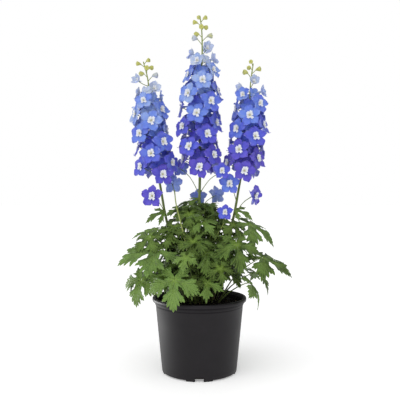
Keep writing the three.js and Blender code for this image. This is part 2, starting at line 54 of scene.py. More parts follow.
TIP_RADIUS = 15.5  # of a half-open floret, highest on its stem
HALF_OPEN = 0.4  # the cup from which a floret is only half open, and nearly white
MODEL_SIZE = 100.0  # millimetres of a model's radius or length before it is set in its place
DRAW_FACTOR, DRAW_STEP, DRAW_RANGE = 1664525, 1013904223, 2**32  # of the seeded numbers

Points = np.ndarray
Draw = Callable[[], float]
Shape = Callable[[np.ndarray, np.ndarray], Points]
Color = tuple[float, float, float, float]
Piece = bpy.types.Object
Mesh = bpy.types.Mesh
Material = bpy.types.Material
Socket = bpy.types.NodeSocket
Source = Socket | float | Sequence[float]


class Slot(Enum):
    """Material slots, by name."""

    POT = "pot"
    COMPOST = "compost"
    STEM = "stem"
    LEAF = "leaf"
    PETAL = "petal"


# ---------------------------------------------------------------- numbers


def jitter(seed: int) -> Draw:
    """A repeatable source of numbers from -1 to 1.

    Args:
        seed: where the row of numbers starts.
    Returns:
        A function that gives the next number each time.
    """
    state = seed % DRAW_RANGE

    def draw() -> float:
        """The next number."""
        nonlocal state
        state = (state * DRAW_FACTOR + DRAW_STEP) % DRAW_RANGE
        return state / DRAW_RANGE * 2 - 1

    return draw


def lerp(a: float, b: float, t: float) -> float:
    """The value t of the way from a to b."""
    return a + (b - a) * t


def smoothstep(x: float, low: float, high: float) -> float:
    """0 below low, 1 above high, and a smooth rise between."""
    t = min(max((x - low) / (high - low), 0.0), 1.0)
    return t * t * (3 - 2 * t)


def between(ends: tuple[float, float], draw: Draw) -> float:
    """A drawn value between two."""
    return lerp(*ends, (draw() + 1) / 2)


def polar(reach: float, degrees: float) -> tuple[float, float]:
    """A place in plan by its distance from the axis and its direction from +X."""
    turn = math.radians(degrees)
    return reach * math.cos(turn), reach * math.sin(turn)


def outward(azimuth: float) -> np.ndarray:
    """A level direction, by degrees from the front, positive to the right."""
    yaw = math.radians(azimuth)
    return np.array([math.sin(yaw), -math.cos(yaw), 0.0])


def sinuous(points: Points, seed: int, pitch: float) -> np.ndarray:
    """Smooth relief from about -1 to 1 over space, the sum of seven crossing waves.

    Args:
        points: places in millimetres, one a row.
        seed: which relief.
        pitch: the size of its longest wave in millimetres.
    Returns:
        One number for each place.
    """
    draw = jitter(seed)
    total = np.zeros(len(points))
    for octave in range(7):
        way = np.array([draw(), draw(), draw()])
        way /= np.linalg.norm(way) + 1e-6
        wave = pitch / (1 + 0.45 * octave)
        total += np.sin(points @ way * (2 * math.pi / wave) + draw() * math.pi) / (1 + 0.25 * octave)
    return total / 3.2


class Path:
    """A smooth centripetal curve through points, sampled evenly along its length."""

    def __init__(self, points: Sequence[Sequence[float]], per_span: int = 24) -> None:
        """Samples the curve.

        Args:
            points: the places it passes through, in millimetres.
            per_span: how many samples lie between two of them.
        """
        known = [np.array(p, float) for p in points]
        first = known[0] * 2 - known[1]
        last = known[-1] * 2 - known[-2]
        known = [first, *known, last]
        samples = []
        for p0, p1, p2, p3 in zip(known, known[1:], known[2:], known[3:]):
            d0, d1, d2 = (np.linalg.norm(b - a) ** 0.5 for a, b in ((p0, p1), (p1, p2), (p2, p3)))
            leave = ((p1 - p0) / d0 - (p2 - p0) / (d0 + d1) + (p2 - p1) / d1) * d1
            meet = ((p2 - p1) / d1 - (p3 - p1) / (d1 + d2) + (p3 - p2) / d2) * d1
            for t in np.arange(per_span) / per_span:
                samples.append(
                    p1 + leave * t
                    + (-3 * p1 + 3 * p2 - 2 * leave - meet) * t**2
                    + (2 * p1 - 2 * p2 + leave + meet) * t**3
                )
        samples.append(known[-2])
        self.samples = np.array(samples)
        steps = np.linalg.norm(np.diff(self.samples, axis=0), axis=1)
        self.lengths = np.concatenate([[0], np.cumsum(steps)])

    def at(self, shares: np.ndarray) -> Points:
        """The places at shares of the length from 0 to 1."""
        reach = np.asarray(shares, float) * self.lengths[-1]
        return np.stack([np.interp(reach, self.lengths, self.samples[:, k]) for k in range(3)], axis=-1)

    def at_height(self, height: float) -> np.ndarray:
        """The place where a path that climbs reaches a height."""
        z = self.samples[:, 2]
        return np.array([np.interp(height, z, self.samples[:, k]) for k in range(3)])


def frames_along(line: Points) -> tuple[Points, Points]:
    """Two crosswise directions at each point of a line, carried along it without twist."""
    tangent = np.gradient(line, axis=0)
    tangent /= np.linalg.norm(tangent, axis=1, keepdims=True) + 1e-12
    start = np.array([1.0, 0.0, 0.0]) if abs(tangent[0][0]) < 0.8 else np.array([0.0, 1.0, 0.0])
    side = []
    for way in tangent:
        start = start - way * (start @ way)
        start /= np.linalg.norm(start)
        side.append(start)
    side = np.array(side)
    return side, np.cross(tangent, side)


def bend_onto(line: Points, widths: np.ndarray) -> Callable[[Points], Points]:
    """A rule that lays a straight model along +Z onto a line, each ring scaled by its own width.

    Args:
        line: as many places as the model has rings.
        widths: how many times as wide each ring becomes.
    Returns:
        The rule, which gives new places for the model's places.
    """
    side, across = frames_along(line)
    last = len(line) - 1

    def bend(points: Points) -> Points:
        """Carries each ring to its place on the line."""
        row = np.clip(np.rint(points[:, 2] / MODEL_SIZE * last).astype(int), 0, last)
        return line[row] + widths[row, None] * (points[:, :1] * side[row] + points[:, 1:2] * across[row])

    return bend


# ---------------------------------------------------------------- modelling


def select_only(*pieces: Piece) -> None:
    """Selects these objects alone, or none, and makes the first one active."""
    bpy.ops.object.select_all(action="DESELECT")
    for piece in pieces:
        piece.select_set(True)
    if pieces:
        bpy.context.view_layer.objects.active = pieces[0]


def read_points(mesh: Mesh) -> Points:
    """A mesh's points as rows of three numbers, in the mesh's own unit."""
    flat = np.empty(len(mesh.vertices) * 3)
    mesh.vertices.foreach_get("co", flat)
    return flat.reshape(-1, 3)


def lay_points(mesh: Mesh, points: Points) -> None:
    """Lays a mesh's points."""
    mesh.vertices.foreach_set("co", np.ascontiguousarray(points, float).ravel())
    mesh.update()


def mark(mesh: Mesh, name: str, values: np.ndarray | float) -> None:
    """Writes one number on each point of a mesh, under a name that its material reads."""
    layer = mesh.attributes.get(name) or mesh.attributes.new(name, "FLOAT", "POINT")
    layer.data.foreach_set("value", np.broadcast_to(values, (len(mesh.vertices),)).astype(float))


def merge_doubles(piece: Piece, distance: float = 2e-6) -> None:
    """Joins the points of a piece that lie in one place."""
    select_only(piece)
    bpy.ops.object.mode_set(mode="EDIT")
    bpy.ops.mesh.select_all(action="SELECT")
    bpy.ops.mesh.remove_doubles(threshold=distance)
    bpy.ops.object.mode_set(mode="OBJECT")


def sheet(name: str, columns: int, rows: int, shape: Shape, marks: Optional[dict[str, Shape]] = None,
          merge: bool = True) -> Piece:
    """Lays a subdivided plane over a shape.

    Args:
        name: of the new piece.
        columns: faces along u.
        rows: faces along v.
        shape: places in millimetres for arrays of u and v, each from 0 to 1.
        marks: numbers to write on the points, each by a function of u and v.
        merge: whether points in one place are joined, to close a seam or a pole.
    Returns:
        The new piece.
    """
    select_only()
    bpy.ops.mesh.primitive_grid_add(x_subdivisions=columns, y_subdivisions=rows, size=1.0)
    piece = bpy.context.object
    piece.name = name
    flat = read_points(piece.data)
    u, v = flat[:, 0] + 0.5, flat[:, 1] + 0.5
    lay_points(piece.data, shape(u, v) * MM)
    for key, value in (marks or {}).items():
        mark(piece.data, key, value(u, v))
    if merge:
        merge_doubles(piece)
    return piece


def tube(name: str, path: Path, radii: Sequence[float], sides: int, steps: int,
         marks: Optional[dict[str, Shape]] = None) -> Piece:
    """A tapered round stalk along a path, closed at both ends.

    Args:
        name: of the new piece.
        path: its centre line.
        radii: its radius at even shares of the length, in millimetres.
        sides: faces round it.
        steps: faces along it.
        marks: numbers to write on the points, each by a function of u round it and v along it.
    Returns:
        The new piece.
    """
    stations = np.concatenate([[0], np.linspace(0, 1, steps + 1), [1]])
    line = path.at(stations[1:-1])
    side, across = frames_along(line)
    line, side, across = (np.concatenate([a[:1], a, a[-1:]]) for a in (line, side, across))
    radius = np.interp(stations, np.linspace(0, 1, len(radii)), radii)
    radius[[0, -1]] = 0

    def shape(u: np.ndarray, v: np.ndarray) -> Points:
        """Wraps the sheet round the centre line."""
        row = np.rint(v * (len(stations) - 1)).astype(int)
        turn = u * 2 * math.pi
        return line[row] + radius[row, None] * (
            np.cos(turn)[:, None] * side[row] + np.sin(turn)[:, None] * across[row]
        )

    return sheet(name, sides, len(stations) - 1, shape, marks)


def turned(name: str, profile: Sequence[tuple[float, float]], sides: int) -> Piece:
    """Pulls a disc up and in, ring by ring, along a profile.

    Args:
        name: of the new piece.
        profile: radius and height of each ring in millimetres, from the first to the last flat face.
        sides: faces round it.
    Returns:
        The new closed piece.
    """
    select_only()
    radius, height = profile[0]
    bpy.ops.mesh.primitive_circle_add(vertices=sides, radius=radius * MM, fill_type="NGON",
                                      location=(0, 0, height * MM), enter_editmode=True)
    bpy.ops.mesh.select_all(action="SELECT")
    for next_radius, next_height in profile[1:]:
        rise = (next_height - height) * MM
        bpy.ops.mesh.extrude_region_move(TRANSFORM_OT_translate={"value": (0, 0, rise)})
        grow = next_radius / radius
        bpy.ops.transform.resize(value=(grow, grow, 1), center_override=(0, 0, next_height * MM))
        radius, height = next_radius, next_height
    bpy.ops.mesh.select_all(action="SELECT")
    bpy.ops.mesh.normals_make_consistent(inside=False)
    bpy.ops.object.mode_set(mode="OBJECT")
    piece = bpy.context.object
    piece.name = name
    bpy.ops.object.transform_apply(location=True, rotation=True, scale=True)
    return piece


def apply_modifier(piece: Piece, kind: str, **settings: object) -> None:
    """Adds a modifier to a piece and applies it at once.

    Args:
        piece: the piece.
        kind: the modifier's type.
        settings: its properties by name.
    """
    select_only(piece)
    made = piece.modifiers.new(kind.title(), kind)
    for key, value in settings.items():
        setattr(made, key, value)
    bpy.ops.object.modifier_apply(modifier=made.name)


def thicken(piece: Piece, thickness: float, back_slot: int = 0) -> None:
    """Gives a sheet a thickness in millimetres, and its back another of its material slots."""
    apply_modifier(piece, "SOLIDIFY", thickness=thickness * MM, offset=-1, material_offset=back_slot)


def copy_of(model: Piece, name: str, bend: Callable[[Points], Points]) -> Piece:
    """A copy of a model with its own mesh, each point moved by a rule.

    Args:
        model: what is copied. Its points stay.
        name: of the copy.
        bend: new places for the model's places, both in millimetres.
    Returns:
        The copy.
    """
    piece = model.copy()
    piece.data = model.data.copy()
    piece.name = name
    bpy.context.scene.collection.objects.link(piece)
    lay_points(piece.data, bend(read_points(piece.data) / MM) * MM)
    return piece


def join(name: str, parts: Sequence[Piece]) -> Piece:
    """Makes one piece of several."""
    select_only(*parts)
    if len(parts) > 1:
        bpy.ops.object.join()
    piece = bpy.context.object
    piece.name = name
    piece.data.name = name
    return piece


def discard(*pieces: Piece) -> None:
    """Removes models that were only there to be copied."""
    for piece in pieces:
        mesh = piece.data
        bpy.data.objects.remove(piece)
        bpy.data.meshes.remove(mesh)


def paint(piece: Piece, *materials: Material) -> None:
    """Gives a piece its materials, one for each slot, and smooth faces."""
    piece.data.materials.clear()
    for material in materials:
        piece.data.materials.append(material)
    piece.data.shade_smooth()


def use_slot(piece: Piece, slot: int) -> None:
    """Puts every face of a piece in one of its material slots."""
    piece.data.polygons.foreach_set("material_index", [slot] * len(piece.data.polygons))


def settle(piece: Piece, slot: Slot, *nodes: str) -> None:
    """Rides a finished piece on the plant's body, in the place of frame nodes."""
    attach(piece, BODY)
    if nodes:
        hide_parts(*nodes)
    LOG.info("%s: %d points", piece.name, len(piece.data.vertices))


# ---------------------------------------------------------------- finishes


def linear(code: str) -> Color:
    """An sRGB hex colour as linear red, green, blue and alpha."""
    parts = [int(code.lstrip("#")[k:k + 2], 16) / 255 for k in (0, 2, 4)]
    red, green, blue = (c / 12.92 if c <= 0.04045 else ((c + 0.055) / 1.055) ** 2.4 for c in parts)
    return red, green, blue, 1.0


def feed(node: bpy.types.Node, inputs: dict[str | int, Source]) -> None:
    """Gives each input of a node the socket that feeds it, or its fixed value."""
    for key, source in inputs.items():
        if isinstance(source, Socket):
            node.id_data.links.new(source, node.inputs[key])
        else:
            node.inputs[key].default_value = source


def add_node(tree: bpy.types.NodeTree, kind: str, inputs: Optional[dict[str | int, Source]] = None,
             stops: Sequence[tuple[float, Color]] = (), **settings: object) -> bpy.types.Node:
    """Adds a node with its settings and links.

    Args:
        tree: where it goes.
        kind: the node's type, without the words that each type starts with.
        inputs: for each input the socket that feeds it, or its fixed value.
        stops: positions and colours, for a ramp.
        settings: the node's properties by name.
    Returns:
        The new node.
    """
    made = tree.nodes.new("ShaderNode" + kind)
    for key, value in settings.items():
        setattr(made, key, value)
    feed(made, inputs or {})
    if stops:
        ramp = made.color_ramp
        while len(ramp.elements) < len(stops):
            ramp.elements.new(1.0)
        for element, (place, color) in zip(ramp.elements, stops):
            element.position, element.color = place, color
    return made


@dataclass(frozen=True)
class Finish:
    """What every finish shares: a name, a roughness and an index of refraction."""

    name: str
    roughness: float
    ior: float = 1.45


class Recipe:
    """A finish's material in the making: each method adds a node and gives the socket it feeds from."""

    def __init__(self, finish: Finish) -> None:
        """Starts a material with the finish's name and gloss."""
        self.material = bpy.data.materials.new(finish.name)
        self.material.use_nodes = True
        self.tree = self.material.node_tree
        self.shader = self.tree.nodes["Principled BSDF"]
        self.shade({"Roughness": finish.roughness, "IOR": finish.ior})

    def shade(self, inputs: dict[str | int, Source]) -> Material:
        """Feeds the shader, and gives the material."""
        feed(self.shader, inputs)
        return self.material

    def place(self) -> Socket:
        """Where on the piece the eye looks, in metres."""
        return add_node(self.tree, "TexCoord").outputs["Object"]

    def part(self, vector: Socket, axis: str) -> Socket:
        """One number of a vector."""
        return add_node(self.tree, "SeparateXYZ", {"Vector": vector}).outputs[axis]

    def uv(self) -> Socket:
        """Where on a petal's sheet the eye looks: across it by X, from its foot to its tip by Y."""
        return add_node(self.tree, "UVMap").outputs["UV"]

    def attribute(self, name: str) -> Socket:
        """A number that the mesh carries."""
        return add_node(self.tree, "Attribute", attribute_name=name).outputs["Fac"]

    def noise(self, scale: float, detail: float = 2.0, roughness: float = 0.5) -> Socket:
        """Clouds over the piece, so many to a metre."""
        inputs = {"Vector": self.place(), "Scale": scale, "Detail": detail, "Roughness": roughness}
        return add_node(self.tree, "TexNoise", inputs).outputs["Fac"]

    def ramp(self, level: Socket, *stops: tuple[float, str | float]) -> Socket:
        """A colour by level. Each stop is a position with a hex colour or a grey from 0 to 1."""
        colors = [(at, linear(tone) if isinstance(tone, str) else (tone, tone, tone, 1.0))
                  for at, tone in stops]
        return add_node(self.tree, "ValToRGB", {"Fac": level}, colors).outputs["Color"]

    def span(self, value: Socket, given: tuple[float, float] = (0.0, 1.0),
             wanted: tuple[float, float] = (0.0, 1.0)) -> Socket:
        """A value carried from one range to another, and kept inside it."""
        inputs = {"Value": value, "From Min": given[0], "From Max": given[1], "To Min": wanted[0],
                  "To Max": wanted[1]}
        return add_node(self.tree, "MapRange", inputs, clamp=True).outputs["Result"]

    def math(self, how: str, *terms: Source, clamp: bool = False) -> Socket:
        """One step of arithmetic."""
        return add_node(self.tree, "Math", dict(enumerate(terms)), operation=how, use_clamp=clamp).outputs[0]

    def mix(self, share: Socket, first: Socket, second: str) -> Socket:
        """A colour mixed with a hex colour by a share."""
        inputs = {"Factor": share, 6: first, 7: linear(second)}
        return add_node(self.tree, "Mix", inputs, data_type="RGBA").outputs[2]

    def bump(self, height: Socket, strength: float, depth: float) -> Socket:
        """Fine relief by a height, so many millimetres deep."""
        inputs = {"Height": height, "Strength": strength, "Distance": depth * MM}
        return add_node(self.tree, "Bump", inputs).outputs["Normal"]


@dataclass(frozen=True)
class PotPlastic(Finish):
    """Injection-moulded polypropylene, black with recycled carbon: satin, finely pebbled, dusty."""

    name: str = "moulded_black_polypropylene"
    roughness: float = 0.45
    ior: float = 1.49
    base: str = "#120f13"
    dust: str = "#19161a"
    grain: float = 0.9  # millimetres between the pebbles, coarser than the real 0.3 so that they show
    specular: float = 0.27
    lip_band: tuple[float, float] = (140, 170)  # the heights between which the creases lie, where the gloss is cut as painted shade

    def make(self) -> Material:
        """The material, its gloss cut in the creases under the lip and under the ledge as painted shade."""
        work = Recipe(self)
        clouds = work.noise(26.0, 5.0)
        # Painted shade: within this band of heights the gloss is cut where the lip and the ledge would shade
        # the wall.
        band = work.span(work.part(work.place(), "Z"), tuple(z * MM for z in self.lip_band))
        crease_shade = work.ramp(band, (0.2, 1.0), (0.3, 0.3), (0.36, 1.0), (0.46, 0.8), (0.59, 0.12), (0.61, 1.0))
        return work.shade({
            "Base Color": work.ramp(clouds, (0.38, self.base), (0.75, self.dust)),
            "Normal": work.bump(work.noise(1 / (self.grain * MM)), 0.22, 0.12),
            "Specular IOR Level": work.math("MULTIPLY", crease_shade, self.specular),
            "Roughness": work.span(clouds, wanted=(self.roughness - 0.04, self.roughness + 0.14)),
        })


@dataclass(frozen=True)
class Peat(Finish):
    """Moist peat compost: matt, nearly black brown, in crumbs and fibres."""

    name: str = "moist_peat_compost"
    roughness: float = 0.95
    dark: str = "#090604"
    light: str = "#231810"
    crumb: float = 5  # millimetres from one crumb to the next

    def make(self) -> Material:
        """The material."""
        work = Recipe(self)
        crumbs = work.noise(1 / (self.crumb * MM), 6.0, 0.7)
        return work.shade({
            "Base Color": work.ramp(crumbs, (0.42, self.dark), (0.72, self.light)),
            "Normal": work.bump(crumbs, 0.9, 1.5),
            "Specular IOR Level": 0.2,
        })


@dataclass(frozen=True)
class Speckle(Finish):
    """A small body of one matt colour, mottled from one tone to another: bark, moss or a stamen."""

    dark: str = "#3a2a1c"
    light: str = "#6b5236"
    spot: float = 2.0  # millimetres

    def make(self) -> Material:
        """The material."""
        work = Recipe(self)
        spots = work.noise(1 / (self.spot * MM), 3.0)
        return work.shade({"Base Color": work.ramp(spots, (0.35, self.dark), (0.65, self.light))})


@dataclass(frozen=True)
class StalkSkin(Finish):
    """A green stalk, downy and finely ribbed: dull red-brown at the crown, olive, then fresh green."""

    name: str = "green_stalk"
    roughness: float = 0.5
    foot: str = "#5c4a2a"
    middle: str = "#5b682b"
    fresh: str = "#667a31"
    top: str = "#8f9c4c"

    def make(self) -> Material:
        """The material, which changes with the rise from the compost."""
        work = Recipe(self)
        rise = work.math("MULTIPLY_ADD", work.noise(90.0, 3.0), 0.24, work.attribute("rise"))
        tint = work.ramp(rise, (0.1, self.foot), (0.34, self.middle), (0.8, self.fresh), (1.0, self.top))
        return work.shade({"Base Color": tint, "Sheen Weight": 0.15})


@dataclass(frozen=True)
class LeafSkin(Finish):
    """A delphinium leaf's skin: deep green, yellower at its junction, with paler sunken veins."""

    name: str = "leaf_upper_skin"
    roughness: float = 0.42
    ior: float = 1.42
    # shade is the darkest green, the painted shade of leaves inside the mound; bright is the palest, the
    # painted light of outer leaves.
    shade: str = "#122204"
    bright: str = "#6d8d44"
    vein: str = "#86a04e"
    junction: str = "#86a636"
    relief: float = 1.8  # millimetres that the veins sink
    side_spacing: float = 8.5  # millimetres between side veins
    cell: float = 3.2  # millimetres of skin between the finest veins
    sheen: float = 0.03

    def make(self) -> Material:
        """The material. A vein runs to the tip of each tooth; side veins leave it at a slant."""
        work = Recipe(self)
        along, across, tone, vein = (work.attribute(name) for name in ("along", "across", "tone", "vein"))
        main = work.span(vein, (0.3, 2.3), (1.0, 0.0))
        slant = work.math("MULTIPLY_ADD", across, -1.15, along)
        wrap = work.math("FRACT", work.math("MULTIPLY", slant, 1 / self.side_spacing))
        off = work.math("ABSOLUTE", work.math("SUBTRACT", wrap, 0.5))
        veins = work.math("MAXIMUM", main, work.span(off, (0.44, 0.5), (0.0, 0.3)))

        # Painted light and shade: a leaf's tone, low for leaves in shade and high for those in full light,
        # with random mottling, runs from the shade green to the bright one. Darker leaves also get less
        # gloss.
        depth = work.math("MULTIPLY_ADD", tone, 0.5, work.noise(45.0, 4.0))
        green = work.ramp(depth, (0.42, self.shade), (1.0, self.bright))
        warm = work.mix(work.span(along, (1.0, 14.0), (0.42, 0.0)), green, self.junction)
        cells = add_node(work.tree, "TexVoronoi", {"Vector": work.place(), "Scale": 1 / (self.cell * MM)})
        sunk = work.math("SUBTRACT", cells.outputs["Distance"], veins)
        return work.shade({
            "Base Color": work.mix(work.math("MULTIPLY", veins, 0.38), warm, self.vein),
            "Normal": work.bump(sunk, 0.7, self.relief),
            "Specular IOR Level": work.span(tone, (0.2, 1.0), (0.1, 0.34)),
            "Sheen Weight": self.sheen,
            "Subsurface Weight": 0.08,
            "Subsurface Radius": (0.003, 0.004, 0.001),
        })


@dataclass(frozen=True)
class SepalSkin(Finish):
    """A sepal: velvety, violet-blue low on the spike and pale lilac-blue near its tip, finely veined."""

    name: str = "sepal_face"
    roughness: float = 0.55
    ior: float = 1.4
    low: str = "#4334bb"
    middle: str = "#3850d2"
    high: str = "#648ae2"
    faint: str = "#9db6e4"
    tip: str = "#c8d4e5"
    blush: str = "#6a4ccc"
    washed: str = "#a9b6e8"
    pale: float = 0.0  # share by which the whole sepal is washed out, as on its back

    def make(self) -> Material:
        """The material: paler at the throat, streaked along its veins, with a flush of violet."""
        work = Recipe(self)
        uv = work.uv()
        out = work.part(uv, "Y")
        wander = work.noise(95.0, 4.0)
        level = work.math("MULTIPLY_ADD", work.attribute("tone"), 0.13, work.attribute("climb"))
        level = work.math("MULTIPLY_ADD", work.attribute("own"), 0.09, level)
        level = work.math("ADD", level, work.span(wander, wanted=(-0.17, 0.17)))
        hue = work.ramp(level, (0.0, self.low), (0.34, self.middle), (0.62, self.high), (0.8, self.faint),
                        (0.95, self.tip))
        flush = work.math("MULTIPLY_ADD", wander, out, -0.05, clamp=True)
        violet = work.math("MULTIPLY", flush, work.span(level, (0.35, 0.75), (1.0, 0.2)))
        inputs = {"Vector": uv, "Scale": 3.4, "Distortion": 3.0, "Detail": 2.0}
        veins = add_node(work.tree, "TexWave", inputs, bands_direction="X").outputs["Fac"]
        throat = work.span(out, (0.12, 0.36), (0.04, 0.0))
        light = work.math("ADD", throat, work.span(veins, wanted=(0.0, 0.15)))
        lift = work.math("ADD", light, self.pale, clamp=True)
        return work.shade({
            "Base Color": work.mix(lift, work.mix(violet, hue, self.blush), self.washed),
            "Normal": work.bump(veins, 0.25, 0.25),
            "Sheen Weight": 0.25,
            "Subsurface Weight": 0.4,
            "Subsurface Radius": (0.003, 0.003, 0.005),
        })


@dataclass(frozen=True)
class BeePetal(Finish):
    """The bee: small white inner petals, a little cream at their base."""

    name: str = "bee_petal"
    roughness: float = 0.6
    white: str = "#e3e5ea"
    heart: str = "#d6d4ba"

    def make(self) -> Material:
        """The material."""
        work = Recipe(self)
        return work.shade({
            "Base Color": work.ramp(work.part(work.uv(), "Y"), (0.02, self.heart), (0.26, self.white)),
            "Subsurface Weight": 0.1,
            "Subsurface Radius": (0.002, 0.002, 0.002),
        })


@dataclass(frozen=True)
class BudSkin(Finish):
    """A closed bud: downy yellow-green, with a lilac cast on those that are nearest to opening."""

    name: str = "bud_skin"
    roughness: float = 0.6
    green: str = "#bcbd66"
    lilac: str = "#b7bfd6"

    def make(self) -> Material:
        """The material."""
        work = Recipe(self)
        level = work.math("MULTIPLY_ADD", work.noise(160.0), 0.5, work.attribute("climb"))
        return work.shade({
            "Base Color": work.ramp(level, (0.2, self.lilac), (0.5, self.green)),
            "Sheen Weight": 0.2,
        })


@dataclass(frozen=True)
class Backdrop(Finish):
    """A light table's matt white top, lit a little from below, so that shadows on it stay faint."""

    name: str = "white_light_table"
    roughness: float = 0.9
    white: str = "#ffffff"
    lit: float = 0.28

    def make(self) -> Material:
        """The material."""
        white = linear(self.white)
        return Recipe(self).shade({
            "Base Color": white,
            "Specular IOR Level": 0.0,
            "Emission Color": white,
            "Emission Strength": self.lit,
        })


@dataclass
class Finishes:
    """Every finish of the plant, made once."""

    plastic: Material = field(default_factory=PotPlastic().make)
    peat: Material = field(default_factory=Peat().make)
    bark: Material = field(default_factory=Speckle("bark_chip", 0.85).make)
    moss: Material = field(default_factory=Speckle("moss", 0.9, dark="#31451a", light="#6d8a34").make)
    stalk: Material = field(default_factory=StalkSkin().make)
    petiole: Material = field(default_factory=StalkSkin(
        "leaf_stalk", foot="#3d2e18", middle="#4a5722", fresh="#667f31", top="#7a9438").make)
    leaf: Material = field(default_factory=LeafSkin().make)
    leaf_back: Material = field(default_factory=LeafSkin(
        "leaf_under_skin", 0.6, shade="#465f30", bright="#6a8549", vein="#8fa66e", relief=0.3,
        sheen=0.15).make)
    sepal: Material = field(default_factory=SepalSkin().make)
    sepal_back: Material = field(default_factory=SepalSkin("sepal_back", pale=0.34).make)
    bee: Material = field(default_factory=BeePetal().make)
    stamen: Material = field(default_factory=Speckle(
        "stamen", 0.8, dark="#c6c18c", light="#e4e0b8", spot=1.0).make)
    bud: Material = field(default_factory=BudSkin().make)

    def floret(self) -> tuple[Material, ...]:
        """A floret's slots: a sepal's face, its back and the bee."""
        return self.sepal, self.sepal_back, self.bee

    def blade(self) -> tuple[Material, ...]:
        """A leaf's slots: upper side, underside and stalk."""
        return self.leaf, self.leaf_back, self.petiole


# ---------------------------------------------------------------- pot and compost


@dataclass
class NurseryPot:
    """The tapered grower's pot with its rolled lip, ledge, foot notches and drain holes."""

    height: float = 166
    lip_radius: float = 105
    lip_height: float = 8
    base_radius: float = 83.3
    wall_top_radius: float = 99.3
    wall: float = 1.8
    ledge_height: float = 150
    foot_height: float = 3
    floor_bottom: float = 4.5
    floor_top: float = 7
    boss_radius: float = 30
    notch_size: tuple[float, float, float] = (14, 19, 20)  # inward, along the wall and up, half of it below
    foot_width: float = 20
    foot_depth: float = 5
    drain_radius: float = 5
    drain_circle: float = 55
    sides: int = 128
    crease_angle: float = 40  # degrees from which an edge stays sharp

    def wall_radius(self, height: float) -> float:
        """The outer radius of the tapered wall at a height."""
        return lerp(self.base_radius, self.wall_top_radius, height / self.height)

    def profile(self) -> list[tuple[float, float]]:
        """The rings from the boss under the floor, out, up, over the lip and down to the floor inside."""
        boss, base, foot, floor = self.boss_radius, self.base_radius, self.foot_height, self.floor_top
        lip, top, ledge, out = self.lip_radius, self.height, self.ledge_height, self.wall_radius
        lip_foot = top - self.lip_height
        skirt = base - 6
        inside = self.wall_top_radius - 0.6
        return [
            (boss, 0), (boss + 0.8, 0.8), (boss + 1.2, self.floor_bottom), (skirt - 1, self.floor_bottom),
            (skirt, foot), (base - 0.5, foot), (base + 0.1, foot + 0.8),
            *[(out(z), z) for z in (12, 40, 75, 110, ledge - 1)],
            (out(ledge) + 0.3, ledge), (out(ledge) + 1.1, ledge + 0.9), (out(ledge) + 1.2, ledge + 2),
            (self.wall_top_radius + 0.5, lip_foot - 0.6), (self.wall_top_radius + 1.4, lip_foot),
            (lip - 1.0, lip_foot + 0.2), (lip - 0.2, lip_foot + 1), (lip, lip_foot + 2.4), (lip, top - 2.6),
            (lip - 0.4, top - 1.2), (lip - 1.4, top - 0.3), (lip - 2.6, top),
            (inside + 1.2, top), (inside + 0.3, top - 0.5), (inside - 0.1, top - 1.8),
            (out(ledge) - self.wall, ledge), (out(75) - self.wall, 75), (out(floor) - self.wall, floor + 1.5),
            (out(floor) - self.wall - 1.5, floor), (2.0, floor),
        ]

    def cut(self, piece: Piece, cutter: Piece, keep: str = "DIFFERENCE") -> None:
        """Cuts a piece with another, or joins them, and drops the other."""
        apply_modifier(piece, "BOOLEAN", operation=keep, object=cutter, solver="EXACT")
        discard(cutter)

    def block(self, size: Sequence[float], middle: Sequence[float], turn: float, ease: float = 0.8) -> Piece:
        """A box with eased edges, turned about the pot's axis, for cutting or for a foot."""
        select_only()
        bpy.ops.mesh.primitive_cube_add(size=1)
        piece = bpy.context.object
        spin = Matrix.Rotation(math.radians(turn), 4, "Z")
        scale = Matrix.Diagonal([*(s * MM for s in size), 1])
        piece.data.transform(spin @ Matrix.Translation([m * MM for m in middle]) @ scale)
        apply_modifier(piece, "BEVEL", width=ease * MM, segments=3)
        return piece

    def build(self, finishes: Finishes) -> None:
        """Models the pot and settles it on its frame node."""
        piece = turned("nursery_pot", self.profile(), self.sides)
        tall = self.foot_height + 1.6
        foot_place = (self.base_radius - self.foot_depth / 2 - 0.9, 0, tall / 2)
        aside = math.degrees(math.asin((self.notch_size[1] + self.foot_width) / 2 / self.base_radius))
        for turn in (0, 90, 180, 270):
            self.cut(piece, self.block(self.notch_size, (self.base_radius - 1, 0, 0), turn))
            for side in (-aside, aside):
                foot = self.block((self.foot_depth, self.foot_width, tall), foot_place, turn + side, ease=1.4)
                self.cut(piece, foot, "UNION")
            bpy.ops.mesh.primitive_cylinder_add(vertices=24, radius=self.drain_radius * MM, depth=20 * MM)
            drain = bpy.context.object
            place = (*polar(self.drain_circle, 45 + turn), 5)
            drain.data.transform(Matrix.Translation([p * MM for p in place]))
            self.cut(piece, drain)
        paint(piece, finishes.plastic)
        select_only(piece)
        bpy.ops.object.shade_smooth_by_angle(angle=math.radians(self.crease_angle))
        settle(piece, Slot.POT, "pot")


